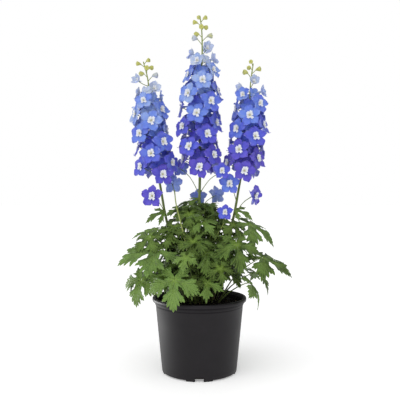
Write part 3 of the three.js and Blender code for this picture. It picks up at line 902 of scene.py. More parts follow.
@dataclass
class Compost:
    """The pot's fill: a lumpy top of peat with crumbs, bark chips and a little moss by the rim."""

    top: float = 158
    fall: float = 4
    flat_radius: float = 62
    foot_radius: float = 81.8
    foot_height: float = 7.5
    edge_radius: float = 96.3
    sides: int = 96
    rings: int = 30
    crumbs: int = 230
    chips: int = 26
    moss_tufts: int = 46
    strewn_radius: float = 92
    sink: float = 1.4  # of the settled surface under the nominal top
    swells: tuple[float, float] = (1.4, 0.8)  # heights of the broad and the fine lumps
    lumpiness: float = 0.9
    moss_direction: tuple[float, float] = (222, 26)  # degrees, and how far the moss spreads to each side
    moss_reach: tuple[float, float] = (84, 9)  # from the axis, and how far the moss spreads in and out

    def surface(self, x: float, y: float) -> float:
        """The height of the compost at a place."""
        spot = np.array([[x, y, 0.0]])
        across = (self.flat_radius, self.edge_radius)
        base = np.interp(math.hypot(x, y), across, (self.top, self.top - self.fall))
        broad, fine = self.swells
        wave = sinuous(spot, 5, 26)[0] * broad + sinuous(spot, 6, 9)[0] * fine
        return base - self.sink + wave * self.lumpiness

    def body(self) -> Piece:
        """The fill itself."""
        level = self.top - self.fall
        inward = np.linspace(self.edge_radius - 1.2, 3, self.rings)
        profile = [(self.foot_radius, self.foot_height), (self.edge_radius, level - 4)]
        piece = turned("peat_fill", profile + [(radius, level) for radius in inward], self.sides)
        points = read_points(piece.data) / MM
        for point in points:
            if point[2] > level - 1:
                point[2] = self.surface(point[0], point[1])
        lay_points(piece.data, points * MM)
        return piece

    def anywhere(self, draw: Draw) -> tuple[float, float]:
        """A place on the compost."""
        reach = self.strewn_radius * math.sqrt((draw() + 1) / 2)
        return polar(reach, draw() * 180)

    def by_rim(self, draw: Draw) -> tuple[float, float]:
        """A place near the rim at the front left."""
        turn = self.moss_direction[0] + draw() * self.moss_direction[1]
        return polar(self.moss_reach[0] + draw() * self.moss_reach[1], turn)

    def scatter(self, name: str, model: Piece, count: int, seed: int, size: tuple[float, float],
                where: Callable[[Draw], tuple[float, float]], sink: float) -> Piece:
        """Lays copies of a small lump on the compost.

        Args:
            name: of the joined piece.
            model: the lump, about one millimetre across.
            count: how many.
            seed: which arrangement.
            size: smallest and largest scale.
            where: gives a place in plan from a source of numbers.
            sink: share of its size that each one is sunk.
        Returns:
            All of them as one piece.
        """
        draw = jitter(seed)
        parts = []
        for _ in range(count):
            x, y = where(draw)
            scale = between(size, draw)
            turn = np.array(Euler((draw() * 3, draw() * 3, draw() * 3)).to_matrix())
            stretch = np.array([1 + draw() * 0.4, 1 + draw() * 0.4, 0.8]) * scale
            centre = np.array([x, y, self.surface(x, y) + scale * (0.5 - sink)])
            parts.append(copy_of(model, name, lambda p: (p * stretch) @ turn.T + centre))
        return join(name, parts)

    def build(self, finishes: Finishes) -> None:
        """Models the fill with its crumbs, chips and moss, and settles them."""
        body = self.body()
        paint(body, finishes.peat)
        settle(body, Slot.COMPOST, "soil")
        select_only()
        bpy.ops.mesh.primitive_ico_sphere_add(subdivisions=1, radius=0.5 * MM)
        lump = bpy.context.object
        points = read_points(lump.data)
        lay_points(lump.data, points * (1 + 0.3 * sinuous(points / MM, 9, 1.1))[:, None])
        for name, count, seed, size, where, sink, material in (
            ("peat_crumbs", self.crumbs, 61, (2.2, 6.0), self.anywhere, 0.3, finishes.peat),
            ("bark_chips", self.chips, 62, (2.0, 4.5), self.anywhere, 0.2, finishes.bark),
            ("moss_tufts", self.moss_tufts, 63, (1.6, 4.2), self.by_rim, 0.25, finishes.moss),
        ):
            piece = self.scatter(name, lump, count, seed, size, where, sink)
            paint(piece, material)
            settle(piece, Slot.COMPOST)
        discard(lump)


# ---------------------------------------------------------------- florets


def facing(azimuth: float, tilt: float, roll: float, at: np.ndarray) -> np.ndarray:
    """Turns local +Z to look out at an azimuth, tilted up, with +Y kept upward.

    Args:
        azimuth: degrees from the front, positive to the right.
        tilt: degrees that the face looks up.
        roll: degrees that it is turned about its own axis.
        at: its centre.
    Returns:
        A matrix of four rows.
    """
    yaw, rise, spin = (math.radians(a) for a in (azimuth, tilt, roll))
    out = np.array([math.sin(yaw) * math.cos(rise), -math.cos(yaw) * math.cos(rise), math.sin(rise)])
    side = np.cross([0.0, 0.0, 1.0], out)
    side /= np.linalg.norm(side)
    up = np.cross(out, side)
    place = np.eye(4)
    place[:3, 0] = side * math.cos(spin) + up * math.sin(spin)
    place[:3, 1] = up * math.cos(spin) - side * math.sin(spin)
    place[:3, 2] = out
    place[:3, 3] = at
    return place


def moved(place: np.ndarray, points: Points) -> Points:
    """Points carried by a matrix."""
    return points @ place[:3, :3].T + place[:3, 3]


@dataclass
class Bloom:
    """Where one floret sits, which way it looks, and how large, open and blue it is."""

    at: np.ndarray
    azimuth: float
    tilt: float
    roll: float
    radius: float
    cup: float
    stalk: Path
    climb: float
    tone: float


@dataclass
class FloretModel:
    """One floret that looks along +Z, five sepals round a white bee, in a radius of MODEL_SIZE."""

    variant: int = 0
    has_bee: bool = True
    sepal_widths: tuple[float, ...] = (0.07, 0.155, 0.245, 0.32, 0.365, 0.38, 0.35, 0.26, 0.09)
    ruffle: float = 1.0  # how strongly the edges of the sepals wave
    sepal_rows: int = 10
    sepal_columns: int = 8
    thickness: float = 0.45
    bee_thickness: float = 0.35
    spur: float = 19 / 27  # share of the radius
    # Direction, length, rise and half width of each petal of the bee.
    bee_plan: Sequence[tuple[float, float, float, float]] = (
        (62, 0.32, 0.2, 0.085), (118, 0.32, 0.2, 0.085), (90, 0.25, 0.15, 0.07), (238, 0.37, 0.13, 0.085),
        (302, 0.37, 0.13, 0.085), (174, 0.24, 0.15, 0.095), (6, 0.24, 0.15, 0.095), (270, 0.24, 0.1, 0.08),
    )

    def petal(self, name: str, columns: int, rows: int, degrees: float, shape: Shape,
              marks: Optional[dict[str, Shape]] = None) -> Piece:
        """A petal or sepal, drawn along +Y in a unit radius and turned to its direction.

        Args:
            name: of the sheet.
            columns: faces across it.
            rows: faces along it.
            degrees: the direction of its middle.
            shape: its places; its first number runs from -1 to 1 across it, its second from 0 to 1 along it.
            marks: numbers to write on its points.
        Returns:
            The petal as an open sheet.
        """
        turn = math.radians(degrees - 90)
        c, s = math.cos(turn), math.sin(turn)
        spin = np.array([[c, -s, 0], [s, c, 0], [0, 0, 1]])
        return sheet(name, columns, rows, lambda u, v: shape(u * 2 - 1, v) @ spin.T * MODEL_SIZE, marks,
                     merge=False)

    def sepal(self, order: int, degrees: float) -> Piece:
        """One sepal. Its order from 0 to 4 sets how it overlaps its neighbours."""
        draw = jitter(900 + self.variant * 101 + order * 17)
        lean = draw() * 0.07
        ripple = draw() * 3
        reach = 1 + draw() * 0.05
        curl = 0.05 + draw() * 0.05
        own = draw()
        rest = 0.012 * (order * 2 % 5)

        def shape(a: np.ndarray, v: np.ndarray) -> Points:
            """An ovate sheet with a blunt tip, a crease down its middle and a waved edge."""
            width = np.interp(v, np.linspace(0, 1, len(self.sepal_widths)), self.sepal_widths)
            width = width * (1 + 0.05 * np.sin(v * 9 + ripple + a))
            y = (0.06 + 0.94 * v) * reach * (1 - 0.1 * np.abs(a) ** 2.2 * v**2)
            z = 0.06 * np.abs(a) ** 1.5 * v - 0.03 * (1 - a * a) * v + rest * v + 0.045 * a * v
            z = z + 0.1 * self.ruffle * np.sin(a * 4.5 + ripple) * np.abs(a) * v**2
            z = z + 0.96 * curl * (v * (1 - v)) - curl * np.maximum(v - 0.6, 0) ** 2 * 9
            z = z + 0.04 * self.ruffle * np.sin(v * 12 + a * 3 + ripple * 2) * np.abs(a) ** 2
            return np.stack([a * width + lean * v * v, y, z], axis=-1)

        return self.petal("sepal", self.sepal_columns, self.sepal_rows, degrees, shape,
                          {"own": lambda u, v: own + 0 * u})

    def bee_petal(self, degrees: float, length: float, rise: float, spread: float) -> Piece:
        """One small inner petal of the bee, notched at its tip and curled back."""

        def shape(a: np.ndarray, v: np.ndarray) -> Points:
            """A narrow claw that widens to a notched blade."""
            width = spread * (0.35 + 0.95 * np.sin(v * math.pi * 0.62) ** 1.2)
            y = 0.035 + length * v * (1 - 0.16 * np.abs(a) ** 2 - 0.22 * np.exp(-((a / 0.22) ** 2)) * v**4)
            z = 0.02 + rise * np.sin(v * math.pi * 0.6) + 0.03 * a * a
            return np.stack([a * width, y, z], axis=-1)

        return self.petal("bee_petal", 4, 5, degrees, shape)

    def stamens(self, finishes: Finishes) -> Piece:
        """The pale heart of the bee: a low knob of stamens."""

        def shape(u: np.ndarray, v: np.ndarray) -> Points:
            """A dome that bulges a little over its foot."""
            turn = u * 2 * math.pi
            radius = 0.05 * np.sin(math.pi * (0.25 + 0.75 * v)) * (1 + 0.2 * np.cos(turn * 4))
            x, y = radius * np.cos(turn), radius * np.sin(turn)
            return np.stack([x, y, 0.03 + 0.15 * v], axis=-1) * MODEL_SIZE

        knob = sheet("stamens", 8, 4, shape)
        paint(knob, *finishes.floret(), finishes.stamen)
        use_slot(knob, 3)
        return knob

    def build(self, finishes: Finishes) -> Piece:
        """Models the whole floret with its materials and the numbers that they read."""
        scale = MODEL_SIZE / FULL_RADIUS
        model = join("floret_face", [self.sepal(k, 90 + 72 * k) for k in range(5)])
        paint(model, *finishes.floret())
        thicken(model, self.thickness * scale, back_slot=1)
        if self.has_bee:
            draw = jitter(40 + self.variant)
            bee = join("bee", [
                self.bee_petal(degrees + draw() * 9, length * (1 + draw() * 0.14), rise, spread)
                for degrees, length, rise, spread in self.bee_plan
            ])
            paint(bee, *finishes.floret())
            thicken(bee, self.bee_thickness * scale)
            use_slot(bee, 2)
            model = join("floret_model", [model, bee, self.stamens(finishes)])
        model.data.shade_smooth()
        for key in ("climb", "tone"):
            mark(model.data, key, 0.0)
        return model

    def set_in(self, model: Piece, bloom: Bloom) -> Piece:
        """A copy of the floret's model in its place, cupped as much as the bloom is closed."""
        place = facing(bloom.azimuth, bloom.tilt, bloom.roll, bloom.at)

        def bend(points: Points) -> Points:
            """Scales the model, cups its sepals and carries it to its place."""
            unit = points / MODEL_SIZE
            reach = np.hypot(unit[:, 0], unit[:, 1])
            unit[:, 2] += bloom.cup * reach**2
            unit[:, :2] *= (1 - 0.28 * bloom.cup * np.minimum(reach, 1) ** 2)[:, None]
            return moved(place, unit * bloom.radius)

        piece = copy_of(model, "floret", bend)
        mark(piece.data, "climb", bloom.climb)
        mark(piece.data, "tone", bloom.tone)
        return piece

    def spur_path(self, bloom: Bloom) -> Path:
        """The spur's centre line, from behind the throat up and back."""
        place = facing(bloom.azimuth, bloom.tilt, 0, bloom.at)
        reach = self.spur * bloom.radius
        local = np.array([[0, 0.06 * bloom.radius, -0.02 * bloom.radius], [0, 0.2 * reach, -0.45 * reach],
                          [0, 0.5 * reach, -0.86 * reach]])
        return Path(moved(place, local), 6)


# ---------------------------------------------------------------- spikes


# Shares of the way up a raceme between which its florets' reach, size, tilt and cup change.
REACH_SPAN, SIZE_SPAN, TILT_SPAN, CUP_SPAN = (0.45, 1), (0.58, 1.06), (0.7, 1), (0.76, 1)


@dataclass
class Buds:
    """The closed buds on top of a spike."""

    first: float
    pitch: float
    count: int
    reach: tuple[float, float]
    radius: tuple[float, float] = (6.2, 4.6)  # of the lowest and the highest
    wander: float = 12  # degrees that a bud stands off its golden angle
    drop: float = 9  # from a bud down to the foot of its stalk
    lift: float = 4  # of a bud's end above the place on the stem where it belongs


@dataclass
class Bract:
    """A small divided leaf that grows from a flowering stem."""

    height: float
    azimuth: float
    length: float
    roll: float


@dataclass
class Spike:
    """A flowering stem: its path, and the rule that its florets and buds follow."""

    name: str
    path: Sequence[Sequence[float]]
    radii: tuple[float, float]
    first: float
    pitch: float
    count: int
    phase: float
    reach: tuple[float, float]
    buds: Buds
    bracts: Sequence[Bract]
    seed: int
    blue: float = 0.0  # how much paler than the others its florets are
    to_light: float = 18  # degrees that a floret at the side turns to the front
    wander: float = 5  # degrees that a floret stands off its golden angle
    uneven: float = 0.1  # share by which the florets' reach varies
    tilt: tuple[float, float] = (14, 7)  # degrees that a floret looks up, and how far that varies
    tip_tilt: float = 8  # degrees that the highest look up beyond that
    roll: float = 16  # degrees by which a floret's turn about its own axis varies
    cups: tuple[float, float] = (0.1, 0.9)  # of a full floret and of the highest
    drop: float = 17  # from a floret down to the foot of its stalk
    inner_share: float = 0.88  # of the florets that have one behind them
    inner_turn: float = 68  # degrees from a floret to the one behind it
    inner_depth: float = 0.5  # share of the reach at which that one sits
    inner_size: float = 0.88  # share of the outer one's radius

    def __post_init__(self) -> None:
        """Samples the stem's path."""
        self.curve = Path(self.path)

    def blooms(self) -> list[Bloom]:
        """Every floret of the raceme, from the lowest up."""
        draw = jitter(self.seed)
        tint = jitter(self.seed + 91)
        made = []
        for i in range(self.count):
            climb = i / (self.count - 1)
            azimuth = self.phase + GOLDEN_ANGLE * i + draw() * self.wander
            look = azimuth - self.to_light * math.sin(math.radians(azimuth))
            height = self.first + self.pitch * i
            reach = lerp(*self.reach, smoothstep(climb, *REACH_SPAN)) * (1 + draw() * self.uneven)
            radius = lerp(FULL_RADIUS, TIP_RADIUS, smoothstep(climb, *SIZE_SPAN))
            tilt = self.tilt[0] + draw() * self.tilt[1] + smoothstep(climb, *TILT_SPAN) * self.tip_tilt
            roll = draw() * self.roll
            cup = lerp(*self.cups, smoothstep(climb, *CUP_SPAN))
            at = self.curve.at_height(height) + outward(azimuth) * reach
            root = self.curve.at_height(height - self.drop * (1 - climb * 0.45))
            back = moved(facing(look, tilt, 0, at), np.array([[0, -0.03 * radius, -0.1 * radius]]))[0]
            middle = root * 0.45 + back * 0.55 + np.array([0, 0, -0.06 * reach])
            level = climb + self.blue
            level = level + 0.15 if cup > HALF_OPEN else min(level, 0.6 + max(self.blue, 0))
            stalk = Path([root, middle, back], 5)
            made.append(Bloom(at, look, tilt, roll, radius, cup, stalk, level, tint()))
        return made

    def inner_blooms(self) -> list[Bloom]:
        """Florets that stand half way in, behind the gaps between the outer ones."""
        made = []
        for outer in self.blooms()[:round(self.count * self.inner_share)]:
            azimuth = outer.azimuth + self.inner_turn
            foot = self.curve.at_height(outer.at[2] + 3)
            step = outward(azimuth) * np.linalg.norm((outer.at - foot)[:2]) * self.inner_depth
            stalk = Path([foot - [0, 0, 8], foot + step * 0.5, foot + step], 3)
            made.append(Bloom(foot + step, azimuth, outer.tilt + 8, outer.roll + 36,
                              outer.radius * self.inner_size, 0.2, stalk, outer.climb, outer.tone))
        return made

    def bud_paths(self) -> list[tuple[Path, float, float]]:
        """The centre line of each bud with its stalk, its radius and how far up it is."""
        draw = jitter(self.seed + 500)
        buds = self.buds
        made = []
        for i in range(buds.count):
            climb = i / (buds.count - 1)
            out = outward(self.phase + GOLDEN_ANGLE * (self.count + i) + draw() * buds.wander)
            height = buds.first + buds.pitch * i
            root = self.curve.at_height(height - buds.drop * (1 - climb * 0.6))
            tip = self.curve.at_height(height) + out * lerp(*buds.reach, climb)
            tip[2] = height + buds.lift
            middle = root * 0.5 + tip * 0.5
            middle[2] = tip[2] - 1.5
            made.append((Path([root, middle, tip], 8), lerp(*buds.radius, climb), climb))
        return made


@dataclass
class SpikeBuilder:
    """Models the stem, the florets, the stalks and the buds of a spike."""

    finishes: Finishes
    florets: FloretModel
    models: Sequence[Piece]
    inner: Piece
    bell: Piece
    bract_blades: "BladeModel"
    bud_length: tuple[float, float] = (16.5, 13.0)  # of the lowest and the highest
    bud_rows: int = 12
    bud_plumpness: float = 0.97
    bud_stalk: Sequence[float] = (0.9, 0.8, 0.8, 0.6, 0.5)  # radii from its foot to its end, as below
    pedicel: Sequence[float] = (1.1, 0.8, 0.8, 1.1)
    spur_taper: Sequence[float] = (3.2, 2.3, 1.5, 0.9, 0.5)  # of a full floret
    bud_stalk_green: float = 0.9  # the rise that sets their green, from 0 at the compost to 1
    pedicel_green: float = 0.68
    stem_flare: float = 1.12  # how much wider a stem's foot is
    stem_knots: int = 30  # parts of a stem, each a little thicker or thinner than the last

    def stalk_bundle(self, name: str, paths: Iterable[tuple[Path, Sequence[float]]], sides: int = 6,
                     steps: int = 7) -> Piece:
        """Copies of one straight stalk, each bent along a path with radii of its own.

        Args:
            name: of the joined piece.
            paths: each centre line and its radii at even shares of the length.
            sides: faces round each.
            steps: faces along each.
        Returns:
            All of them as one piece.
        """
        model = tube("straight_stalk", Path([[0, 0, 0], [0, 0, MODEL_SIZE / 2], [0, 0, MODEL_SIZE]]), [1, 1],
                     sides, steps)
        shares = np.linspace(0, 1, steps + 1)
        parts = []
        for path, radii in paths:
            widths = np.interp(shares, np.linspace(0, 1, len(radii)), radii)
            parts.append(copy_of(model, name, bend_onto(path.at(shares), widths)))
        discard(model)
        return join(name, parts)

    def green_stalks(self, name: str, paths: Iterable[tuple[Path, Sequence[float]]], rise: float,
                     *nodes: str) -> None:
        """Settles a bundle of green stalks, so fresh a green as their rise from the compost asks."""
        piece = self.stalk_bundle(name, paths)
        mark(piece.data, "rise", rise)
        paint(piece, self.finishes.stalk)
        settle(piece, Slot.STEM, *nodes)

    def spur(self, bloom: Bloom) -> Piece:
        """The spur behind a floret, in the colour of a sepal's back."""
        size = bloom.radius / FULL_RADIUS
        radii = [size * r for r in self.spur_taper]
        piece = self.stalk_bundle("spur", [(self.florets.spur_path(bloom), radii)])
        mark(piece.data, "climb", bloom.climb)
        mark(piece.data, "tone", bloom.tone)
        paint(piece, *self.finishes.floret())
        use_slot(piece, 1)
        return piece

    def florets_of(self, name: str, blooms: Sequence[Bloom], *nodes: str) -> None:
        """Sets florets with their spurs in place as one piece that stands for the given nodes."""
        parts = []
        for n, bloom in enumerate(blooms):
            model = self.bell if bloom.cup > HALF_OPEN else self.models[n % len(self.models)]
            parts.append(self.florets.set_in(model, bloom))
        parts += [self.spur(bloom) for bloom in blooms]
        settle(join(name, parts), Slot.PETAL, *nodes)

    def pedicels(self, name: str, blooms: Sequence[Bloom], *nodes: str) -> None:
        """Sets the green stalks of florets in place."""
        stalks = [(bloom.stalk, self.pedicel) for bloom in blooms]
        self.green_stalks(name, stalks, self.pedicel_green, *nodes)

    def stem(self, name: str, curve: Path, radii: tuple[float, float], node: str, fresh: float = 0.0) -> None:
        """A stem, a little thicker or thinner from knot to knot, from the compost up, whose foot is as fresh
        a green as asked.
        """
        draw = jitter(len(name) * 7)
        knots = self.stem_knots
        bulge = [lerp(*radii, k / knots) * (1 + 0.05 * draw()) for k in range(1, knots)]
        piece = tube(name, curve, [radii[0] * self.stem_flare, *bulge, radii[1]], 12, 72,
                     {"rise": lambda u, v: fresh + (1 - fresh) * v})
        paint(piece, self.finishes.stalk)
        settle(piece, Slot.STEM, node)

    def buds(self, spike: Spike) -> None:
        """The closed buds, each on its short stalk."""

        def pear(u: np.ndarray, v: np.ndarray) -> Points:
            """A blunt pear along +Z, about 1 mm in radius, with five faint seams and a dimpled end."""
            turn = u * 2 * math.pi
            girth = np.interp(v, np.linspace(0, 1, 9), [0, 0.28, 0.48, 0.66, 0.82, 0.96, 1.06, 1.02, 0])
            radius = girth * (1 + 0.13 * np.cos(turn * 5) * v**2)
            height = np.where(v > 0.99, 0.86, v) * MODEL_SIZE
            return np.stack([radius * np.cos(turn), radius * np.sin(turn), height], axis=-1)

        model = sheet("bud_model", 15, self.bud_rows, pear)
        paint(model, self.finishes.bud)
        eggs, stalks = [], []
        for path, size, climb in spike.bud_paths():
            first = max(0.12, 1 - lerp(*self.bud_length, climb) / path.lengths[-1])
            line = path.at(np.linspace(first, 1.0, self.bud_rows + 1))
            piece = copy_of(model, "bud", bend_onto(line, np.full(len(line), size * self.bud_plumpness)))
            mark(piece.data, "climb", climb)
            eggs.append(piece)
            stalks.append((path, self.bud_stalk))
        discard(model)
        node = f"stem_{spike.name}"
        settle(join(f"buds_{spike.name}", eggs), Slot.STEM, node)
        self.green_stalks(f"bud_stalks_{spike.name}", stalks, self.bud_stalk_green, node)

    def bracts(self, spike: Spike) -> None:
        """The small divided leaves under the raceme."""
        parts = []
        for n, bract in enumerate(spike.bracts):
            at = tuple(spike.curve.at_height(bract.height))
            leaf = Leaf(f"bract_{n}", at, bract.azimuth - 90, 12, bract.roll, bract.length, 2, 3)
            parts.append(self.bract_blades.blade(leaf, seed=spike.seed + n))
        settle(join(f"bracts_{spike.name}", parts), Slot.LEAF, f"stem_{spike.name}")

    def build(self, spike: Spike) -> None:
        """Models one whole spike."""
        name, blooms = spike.name, spike.blooms()
        self.florets_of(f"florets_{name}", blooms, f"raceme_{name}")
        inner = [self.florets.set_in(self.inner, bloom) for bloom in spike.inner_blooms()]
        settle(join(f"inner_florets_{name}", inner), Slot.PETAL, f"raceme_{name}")
        self.pedicels(f"pedicels_{name}", blooms, f"raceme_{name}")
        self.stem(f"stalk_{name}", spike.curve, spike.radii, f"stem_{name}")
        self.buds(spike)
        self.bracts(spike)


# ---------------------------------------------------------------- leaves


@dataclass
class Leaf:
    """One palmate leaf: the junction of blade and stalk, how the blade is turned, and its cut."""

    name: str
    at: tuple[float, float, float]
    heading: float
    pitch: float
    roll: float
    length: float
    teeth: int
    lobes: int = 5
    light: float = 0.0  # painted shade and light on the leaf's green: from -1, the darkest, for a leaf in shade, to 1, the palest, for one in full light

    def place(self) -> np.ndarray:
        """The blade's matrix: turned by roll, then pitch, then heading, and moved to its junction."""
        turn = Euler([math.radians(a) for a in (self.roll, self.pitch, self.heading)], "XYZ").to_matrix()
        place = np.eye(4)
        place[:3, :3] = np.array(turn)
        place[:3, 3] = self.at
        return place


@dataclass
class BladeModel:
    """How every blade is cut, folded and arched."""

    finishes: Finishes
    droop: float = 0.34
    fold: float = 0.22
    thickness: float = 0.5
    rows: int = 11
    spacing: float = 0.06  # share of the length between points of the edge
    tone_and_shade_range: tuple[float, float] = (0.1, 1.05)  # from the darkest leaf to the brightest, random tone and painted shade and light together
    full: float = 1.14  # how much broader each lobe is than its plan
    small_lobe: float = 0.8  # share of the length under which a lobe has only the large teeth
    heel: float = 0.07  # share of the length that the blade reaches behind its junction
    sinus: float = 0.27  # share of two lobes' length at which they part
    swell: float = 0.09  # how far the edge swells between two corners, as a share of their distance
    vein_steps: int = 25  # places along a vein from which the distance to it is taken
    bow: float = 0.55  # how closely the veins of a lobe hug its middle before they part
    # Direction of each lobe and its share of the blade's length, by how many lobes there are.
    lobe_plans: dict[int, Sequence[tuple[float, float]]] = field(default_factory=lambda: {
        3: ((-54, 0.72), (0, 1), (54, 0.72)),
        5: ((-136, 0.7), (-70, 0.93), (0, 1), (70, 0.93), (136, 0.7)),
    })
    # Half of a lobe's edge, from the sinus to the tip: share of the lobe's length and degrees off its
    # middle, by how finely the leaf is toothed.
    edges: dict[int, Sequence[tuple[float, float]]] = field(default_factory=lambda: {
        1: ((0.3, 25), (0.4, 18.5), (0.56, 21.5), (0.75, 23.5), (0.69, 17), (0.66, 11), (0.82, 9),
            (0.78, 4.5)),
        2: ((0.3, 25), (0.4, 19.5), (0.54, 23), (0.66, 27.5), (0.66, 24.5), (0.79, 25), (0.73, 19.5),
            (0.75, 17.5), (0.57, 13.4), (0.72, 13.2), (0.87, 12.2), (0.79, 7), (0.93, 5.6), (0.89, 2.8)),
    })

    def outline(self, leaf: Leaf,
                seed: int) -> tuple[Points, np.ndarray, np.ndarray, np.ndarray, list[Points]]:
        """The blade's edge, from the heel round and back to it.

        Args:
            leaf: the leaf.
            seed: which small differences it has.
        Returns:
            Points in the plane; the direction, the own droop and the number of the lobe that each
            belongs to; and for each lobe the tips of its teeth.
        """
        draw = jitter(seed)
        plan = self.lobe_plans[leaf.lobes]
        heel = np.array([-self.heel, 0.0])
        points, ways, droops, lobes, tips = [heel], [math.radians(plan[0][0])], [0.0], [0], []
        for k, (degrees, share) in enumerate(plan):
            edge = self.edges[1 if share < self.small_lobe else leaf.teeth]
            way = math.radians(degrees + draw() * 3)
            own = draw() * 0.5
            halves = [[(r * (1 + draw() * 0.03), math.radians(a * (self.full + draw() * 0.02)))
                       for r, a in edge] for _ in range(2)]
            corners = [(r, -a) for r, a in halves[0]] + [(1.0, 0.0)] + list(reversed(halves[1]))
            lobe = [np.array([math.cos(way + a), math.sin(way + a)]) * r * share for r, a in corners]
            reach = [0.0, *(r for r, _ in corners), 0.0]
            tips.append(np.array([spot for spot, before, here, after in zip(lobe, reach, reach[1:], reach[2:])
                                  if before < here > after and here > 0.7]))
            if k < len(plan) - 1:
                next_degrees, next_share = plan[k + 1]
                sinus = polar(self.sinus * (share + next_share) / 2, (degrees + next_degrees) / 2)
                lobe.append(np.array(sinus))
            else:
                lobe.append(heel)
            for corner in lobe:
                start = points[-1]
                gap = corner - start
                normal = np.array([gap[1], -gap[0]])
                steps = max(1, round(np.linalg.norm(gap) / self.spacing))
                shares = np.arange(1, steps + 1) / steps
                points += [start + gap * t + normal * self.swell * math.sin(math.pi * t) for t in shares]
                ways += [way] * steps
                droops += [own] * steps
                lobes += [k] * steps
        return np.array(points), np.array(ways), np.array(droops), np.array(lobes), tips

    def along_vein(self, end: Points, way: np.ndarray, t: np.ndarray) -> Points:
        """The place t of the way from the junction to an end, first along the lobe's middle, then aside."""
        middle = np.stack([np.cos(way), np.sin(way)], axis=-1) * np.hypot(end[..., 0], end[..., 1])[..., None]
        share = t[..., None]
        return middle * self.bow * 2 * share * (1 - share) + end * share**2

    def off_vein(self, spot: Points, lobes: np.ndarray, ways: np.ndarray, tips: list[Points]) -> np.ndarray:
        """How far each place lies from the nearest vein of its lobe, as a share of the blade's length."""
        off = np.ones(len(spot))
        steps = np.linspace(0, 1, self.vein_steps)
        for k, ends in enumerate(tips):
            here = lobes == k
            if not here.any():
                continue
            for end in ends:
                way = np.full(len(steps), ways[here][0])
                line = self.along_vein(np.tile(end, (len(steps), 1)), way, steps)
                apart = np.linalg.norm(spot[here][:, None, :] - line[None, :, :], axis=2).min(axis=1)
                off[here] = np.minimum(off[here], apart)
        return off

    def blade(self, leaf: Leaf, seed: int) -> Piece:
        """The blade of a leaf, arched and folded, with a pale underside.

        Args:
            leaf: the leaf.
            seed: which small differences it has.
        Returns:
            The blade as a closed piece.
        """
        rim, ways, droops, lobes, tips = self.outline(leaf, seed)
        length, place, columns = leaf.length, leaf.place(), len(rim) - 1
        draw = jitter(seed + 7)
        ripple, phase = 0.5 + 0.3 * draw(), draw() * 3
        # A random tone plus the leaf's painted light or shade.
        tone = lerp(*self.tone_and_shade_range, 0.5 + 0.22 * draw() + 0.35 * leaf.light)

        def flat(u: np.ndarray, v: np.ndarray) -> tuple[np.ndarray, ...]:
            """Each point of the flat blade: place, along and across its lobe, off a vein, and its column."""
            column = np.rint((1 - u) * columns).astype(int)
            way = ways[column]
            spot = self.along_vein(rim[column], way, v**0.85)
            along = spot[:, 0] * np.cos(way) + spot[:, 1] * np.sin(way)
            across = np.abs(spot[:, 1] * np.cos(way) - spot[:, 0] * np.sin(way))
            return spot, along, across, self.off_vein(spot, lobes[column], way, tips), column

        def shape(u: np.ndarray, v: np.ndarray) -> Points:
            """The arched blade in its place."""
            spot, _, across, off, column = flat(u, v)
            reach = np.hypot(spot[:, 0], spot[:, 1])
            bend = self.droop * (1 + droops[column] * reach)
            squeeze = 1 - 0.18 * self.droop * reach**2
            rise = self.fold * np.sqrt(across**2 + 0.0004) + 0.3 * np.minimum(off, 0.05)
            rise = rise + 0.014 * ripple * np.sin(column * 1.05 + phase) * v**3
            rise = rise + 0.012 * np.sin(spot[:, 0] * 9 + phase) * np.cos(spot[:, 1] * 8 - phase) * v
            x, y = spot[:, 0] * squeeze, spot[:, 1] * squeeze
            return moved(place, np.stack([x, y, rise - bend * reach**2], axis=-1) * length)

        marks = {name: lambda u, v, k=k: flat(u, v)[k] * length
                 for k, name in enumerate(("along", "across", "vein"), 1)}
        piece = sheet(f"blade_{leaf.name}", columns, self.rows, shape, marks)
        mark(piece.data, "tone", tone)
        mark(piece.data, "rise", 1.0)
        paint(piece, *self.finishes.blade())
        thicken(piece, self.thickness, back_slot=1)
        return piece


@dataclass
class Foliage:
    """The mound of leaves and their stalks."""

    leaves: Sequence[Leaf]
    blades: BladeModel
    crown: tuple[float, float] = (16, 40)  # from the axis, where the inner and outer leaves are rooted
    soil_top: float = 158
    root_depth: float = 12
    stalk_radii: tuple[float, float] = (2.2, 1.4)

    def stalk_path(self, leaf: Leaf) -> Path:
        """The leaf stalk's line, from its root in the compost up and outward to the blade."""
        end = np.array(leaf.at, float)
        aim = math.degrees(math.atan2(end[1], end[0]))
        radius = lerp(*self.crown, smoothstep(math.hypot(end[0], end[1]), 30, 150))
        root = np.array([*polar(radius, aim), self.soil_top - self.root_depth])
        inward = moved(leaf.place(), np.array([[-0.14 * leaf.length, 0, -0.1 * leaf.length]]))[0]
        middle = root * 0.6 + end * 0.4
        middle[2] = lerp(root[2], end[2], 0.62)
        return Path([root, middle, inward, end])

    def build(self, finishes: Finishes, in_frame: bool = True) -> None:
        """Models each leaf as a blade fused to its stalk, and settles it.

        Args:
            finishes: the plant's materials.
            in_frame: whether each leaf stands for a node of the frame.
        """
        thick, thin = self.stalk_radii
        radii = [thick, lerp(thick, thin, 0.6), thin, thin * 0.9, 0.5]
        for n, leaf in enumerate(self.leaves):
            blade = self.blades.blade(leaf, seed=100 + n * 13 + len(self.leaves))
            stalk = tube("leaf_stalk", self.stalk_path(leaf), radii, 8, 26, {"rise": lambda u, v: v})
            for key in ("along", "across", "vein", "tone"):
                mark(stalk.data, key, 0.0)
            paint(stalk, *finishes.blade())
            use_slot(stalk, 2)
            piece = join(f"palmate_{leaf.name}", [blade, stalk])
            settle(piece, Slot.LEAF, *([f"leaf_{leaf.name}"] if in_frame else []))


# ---------------------------------------------------------------- the plant's plan

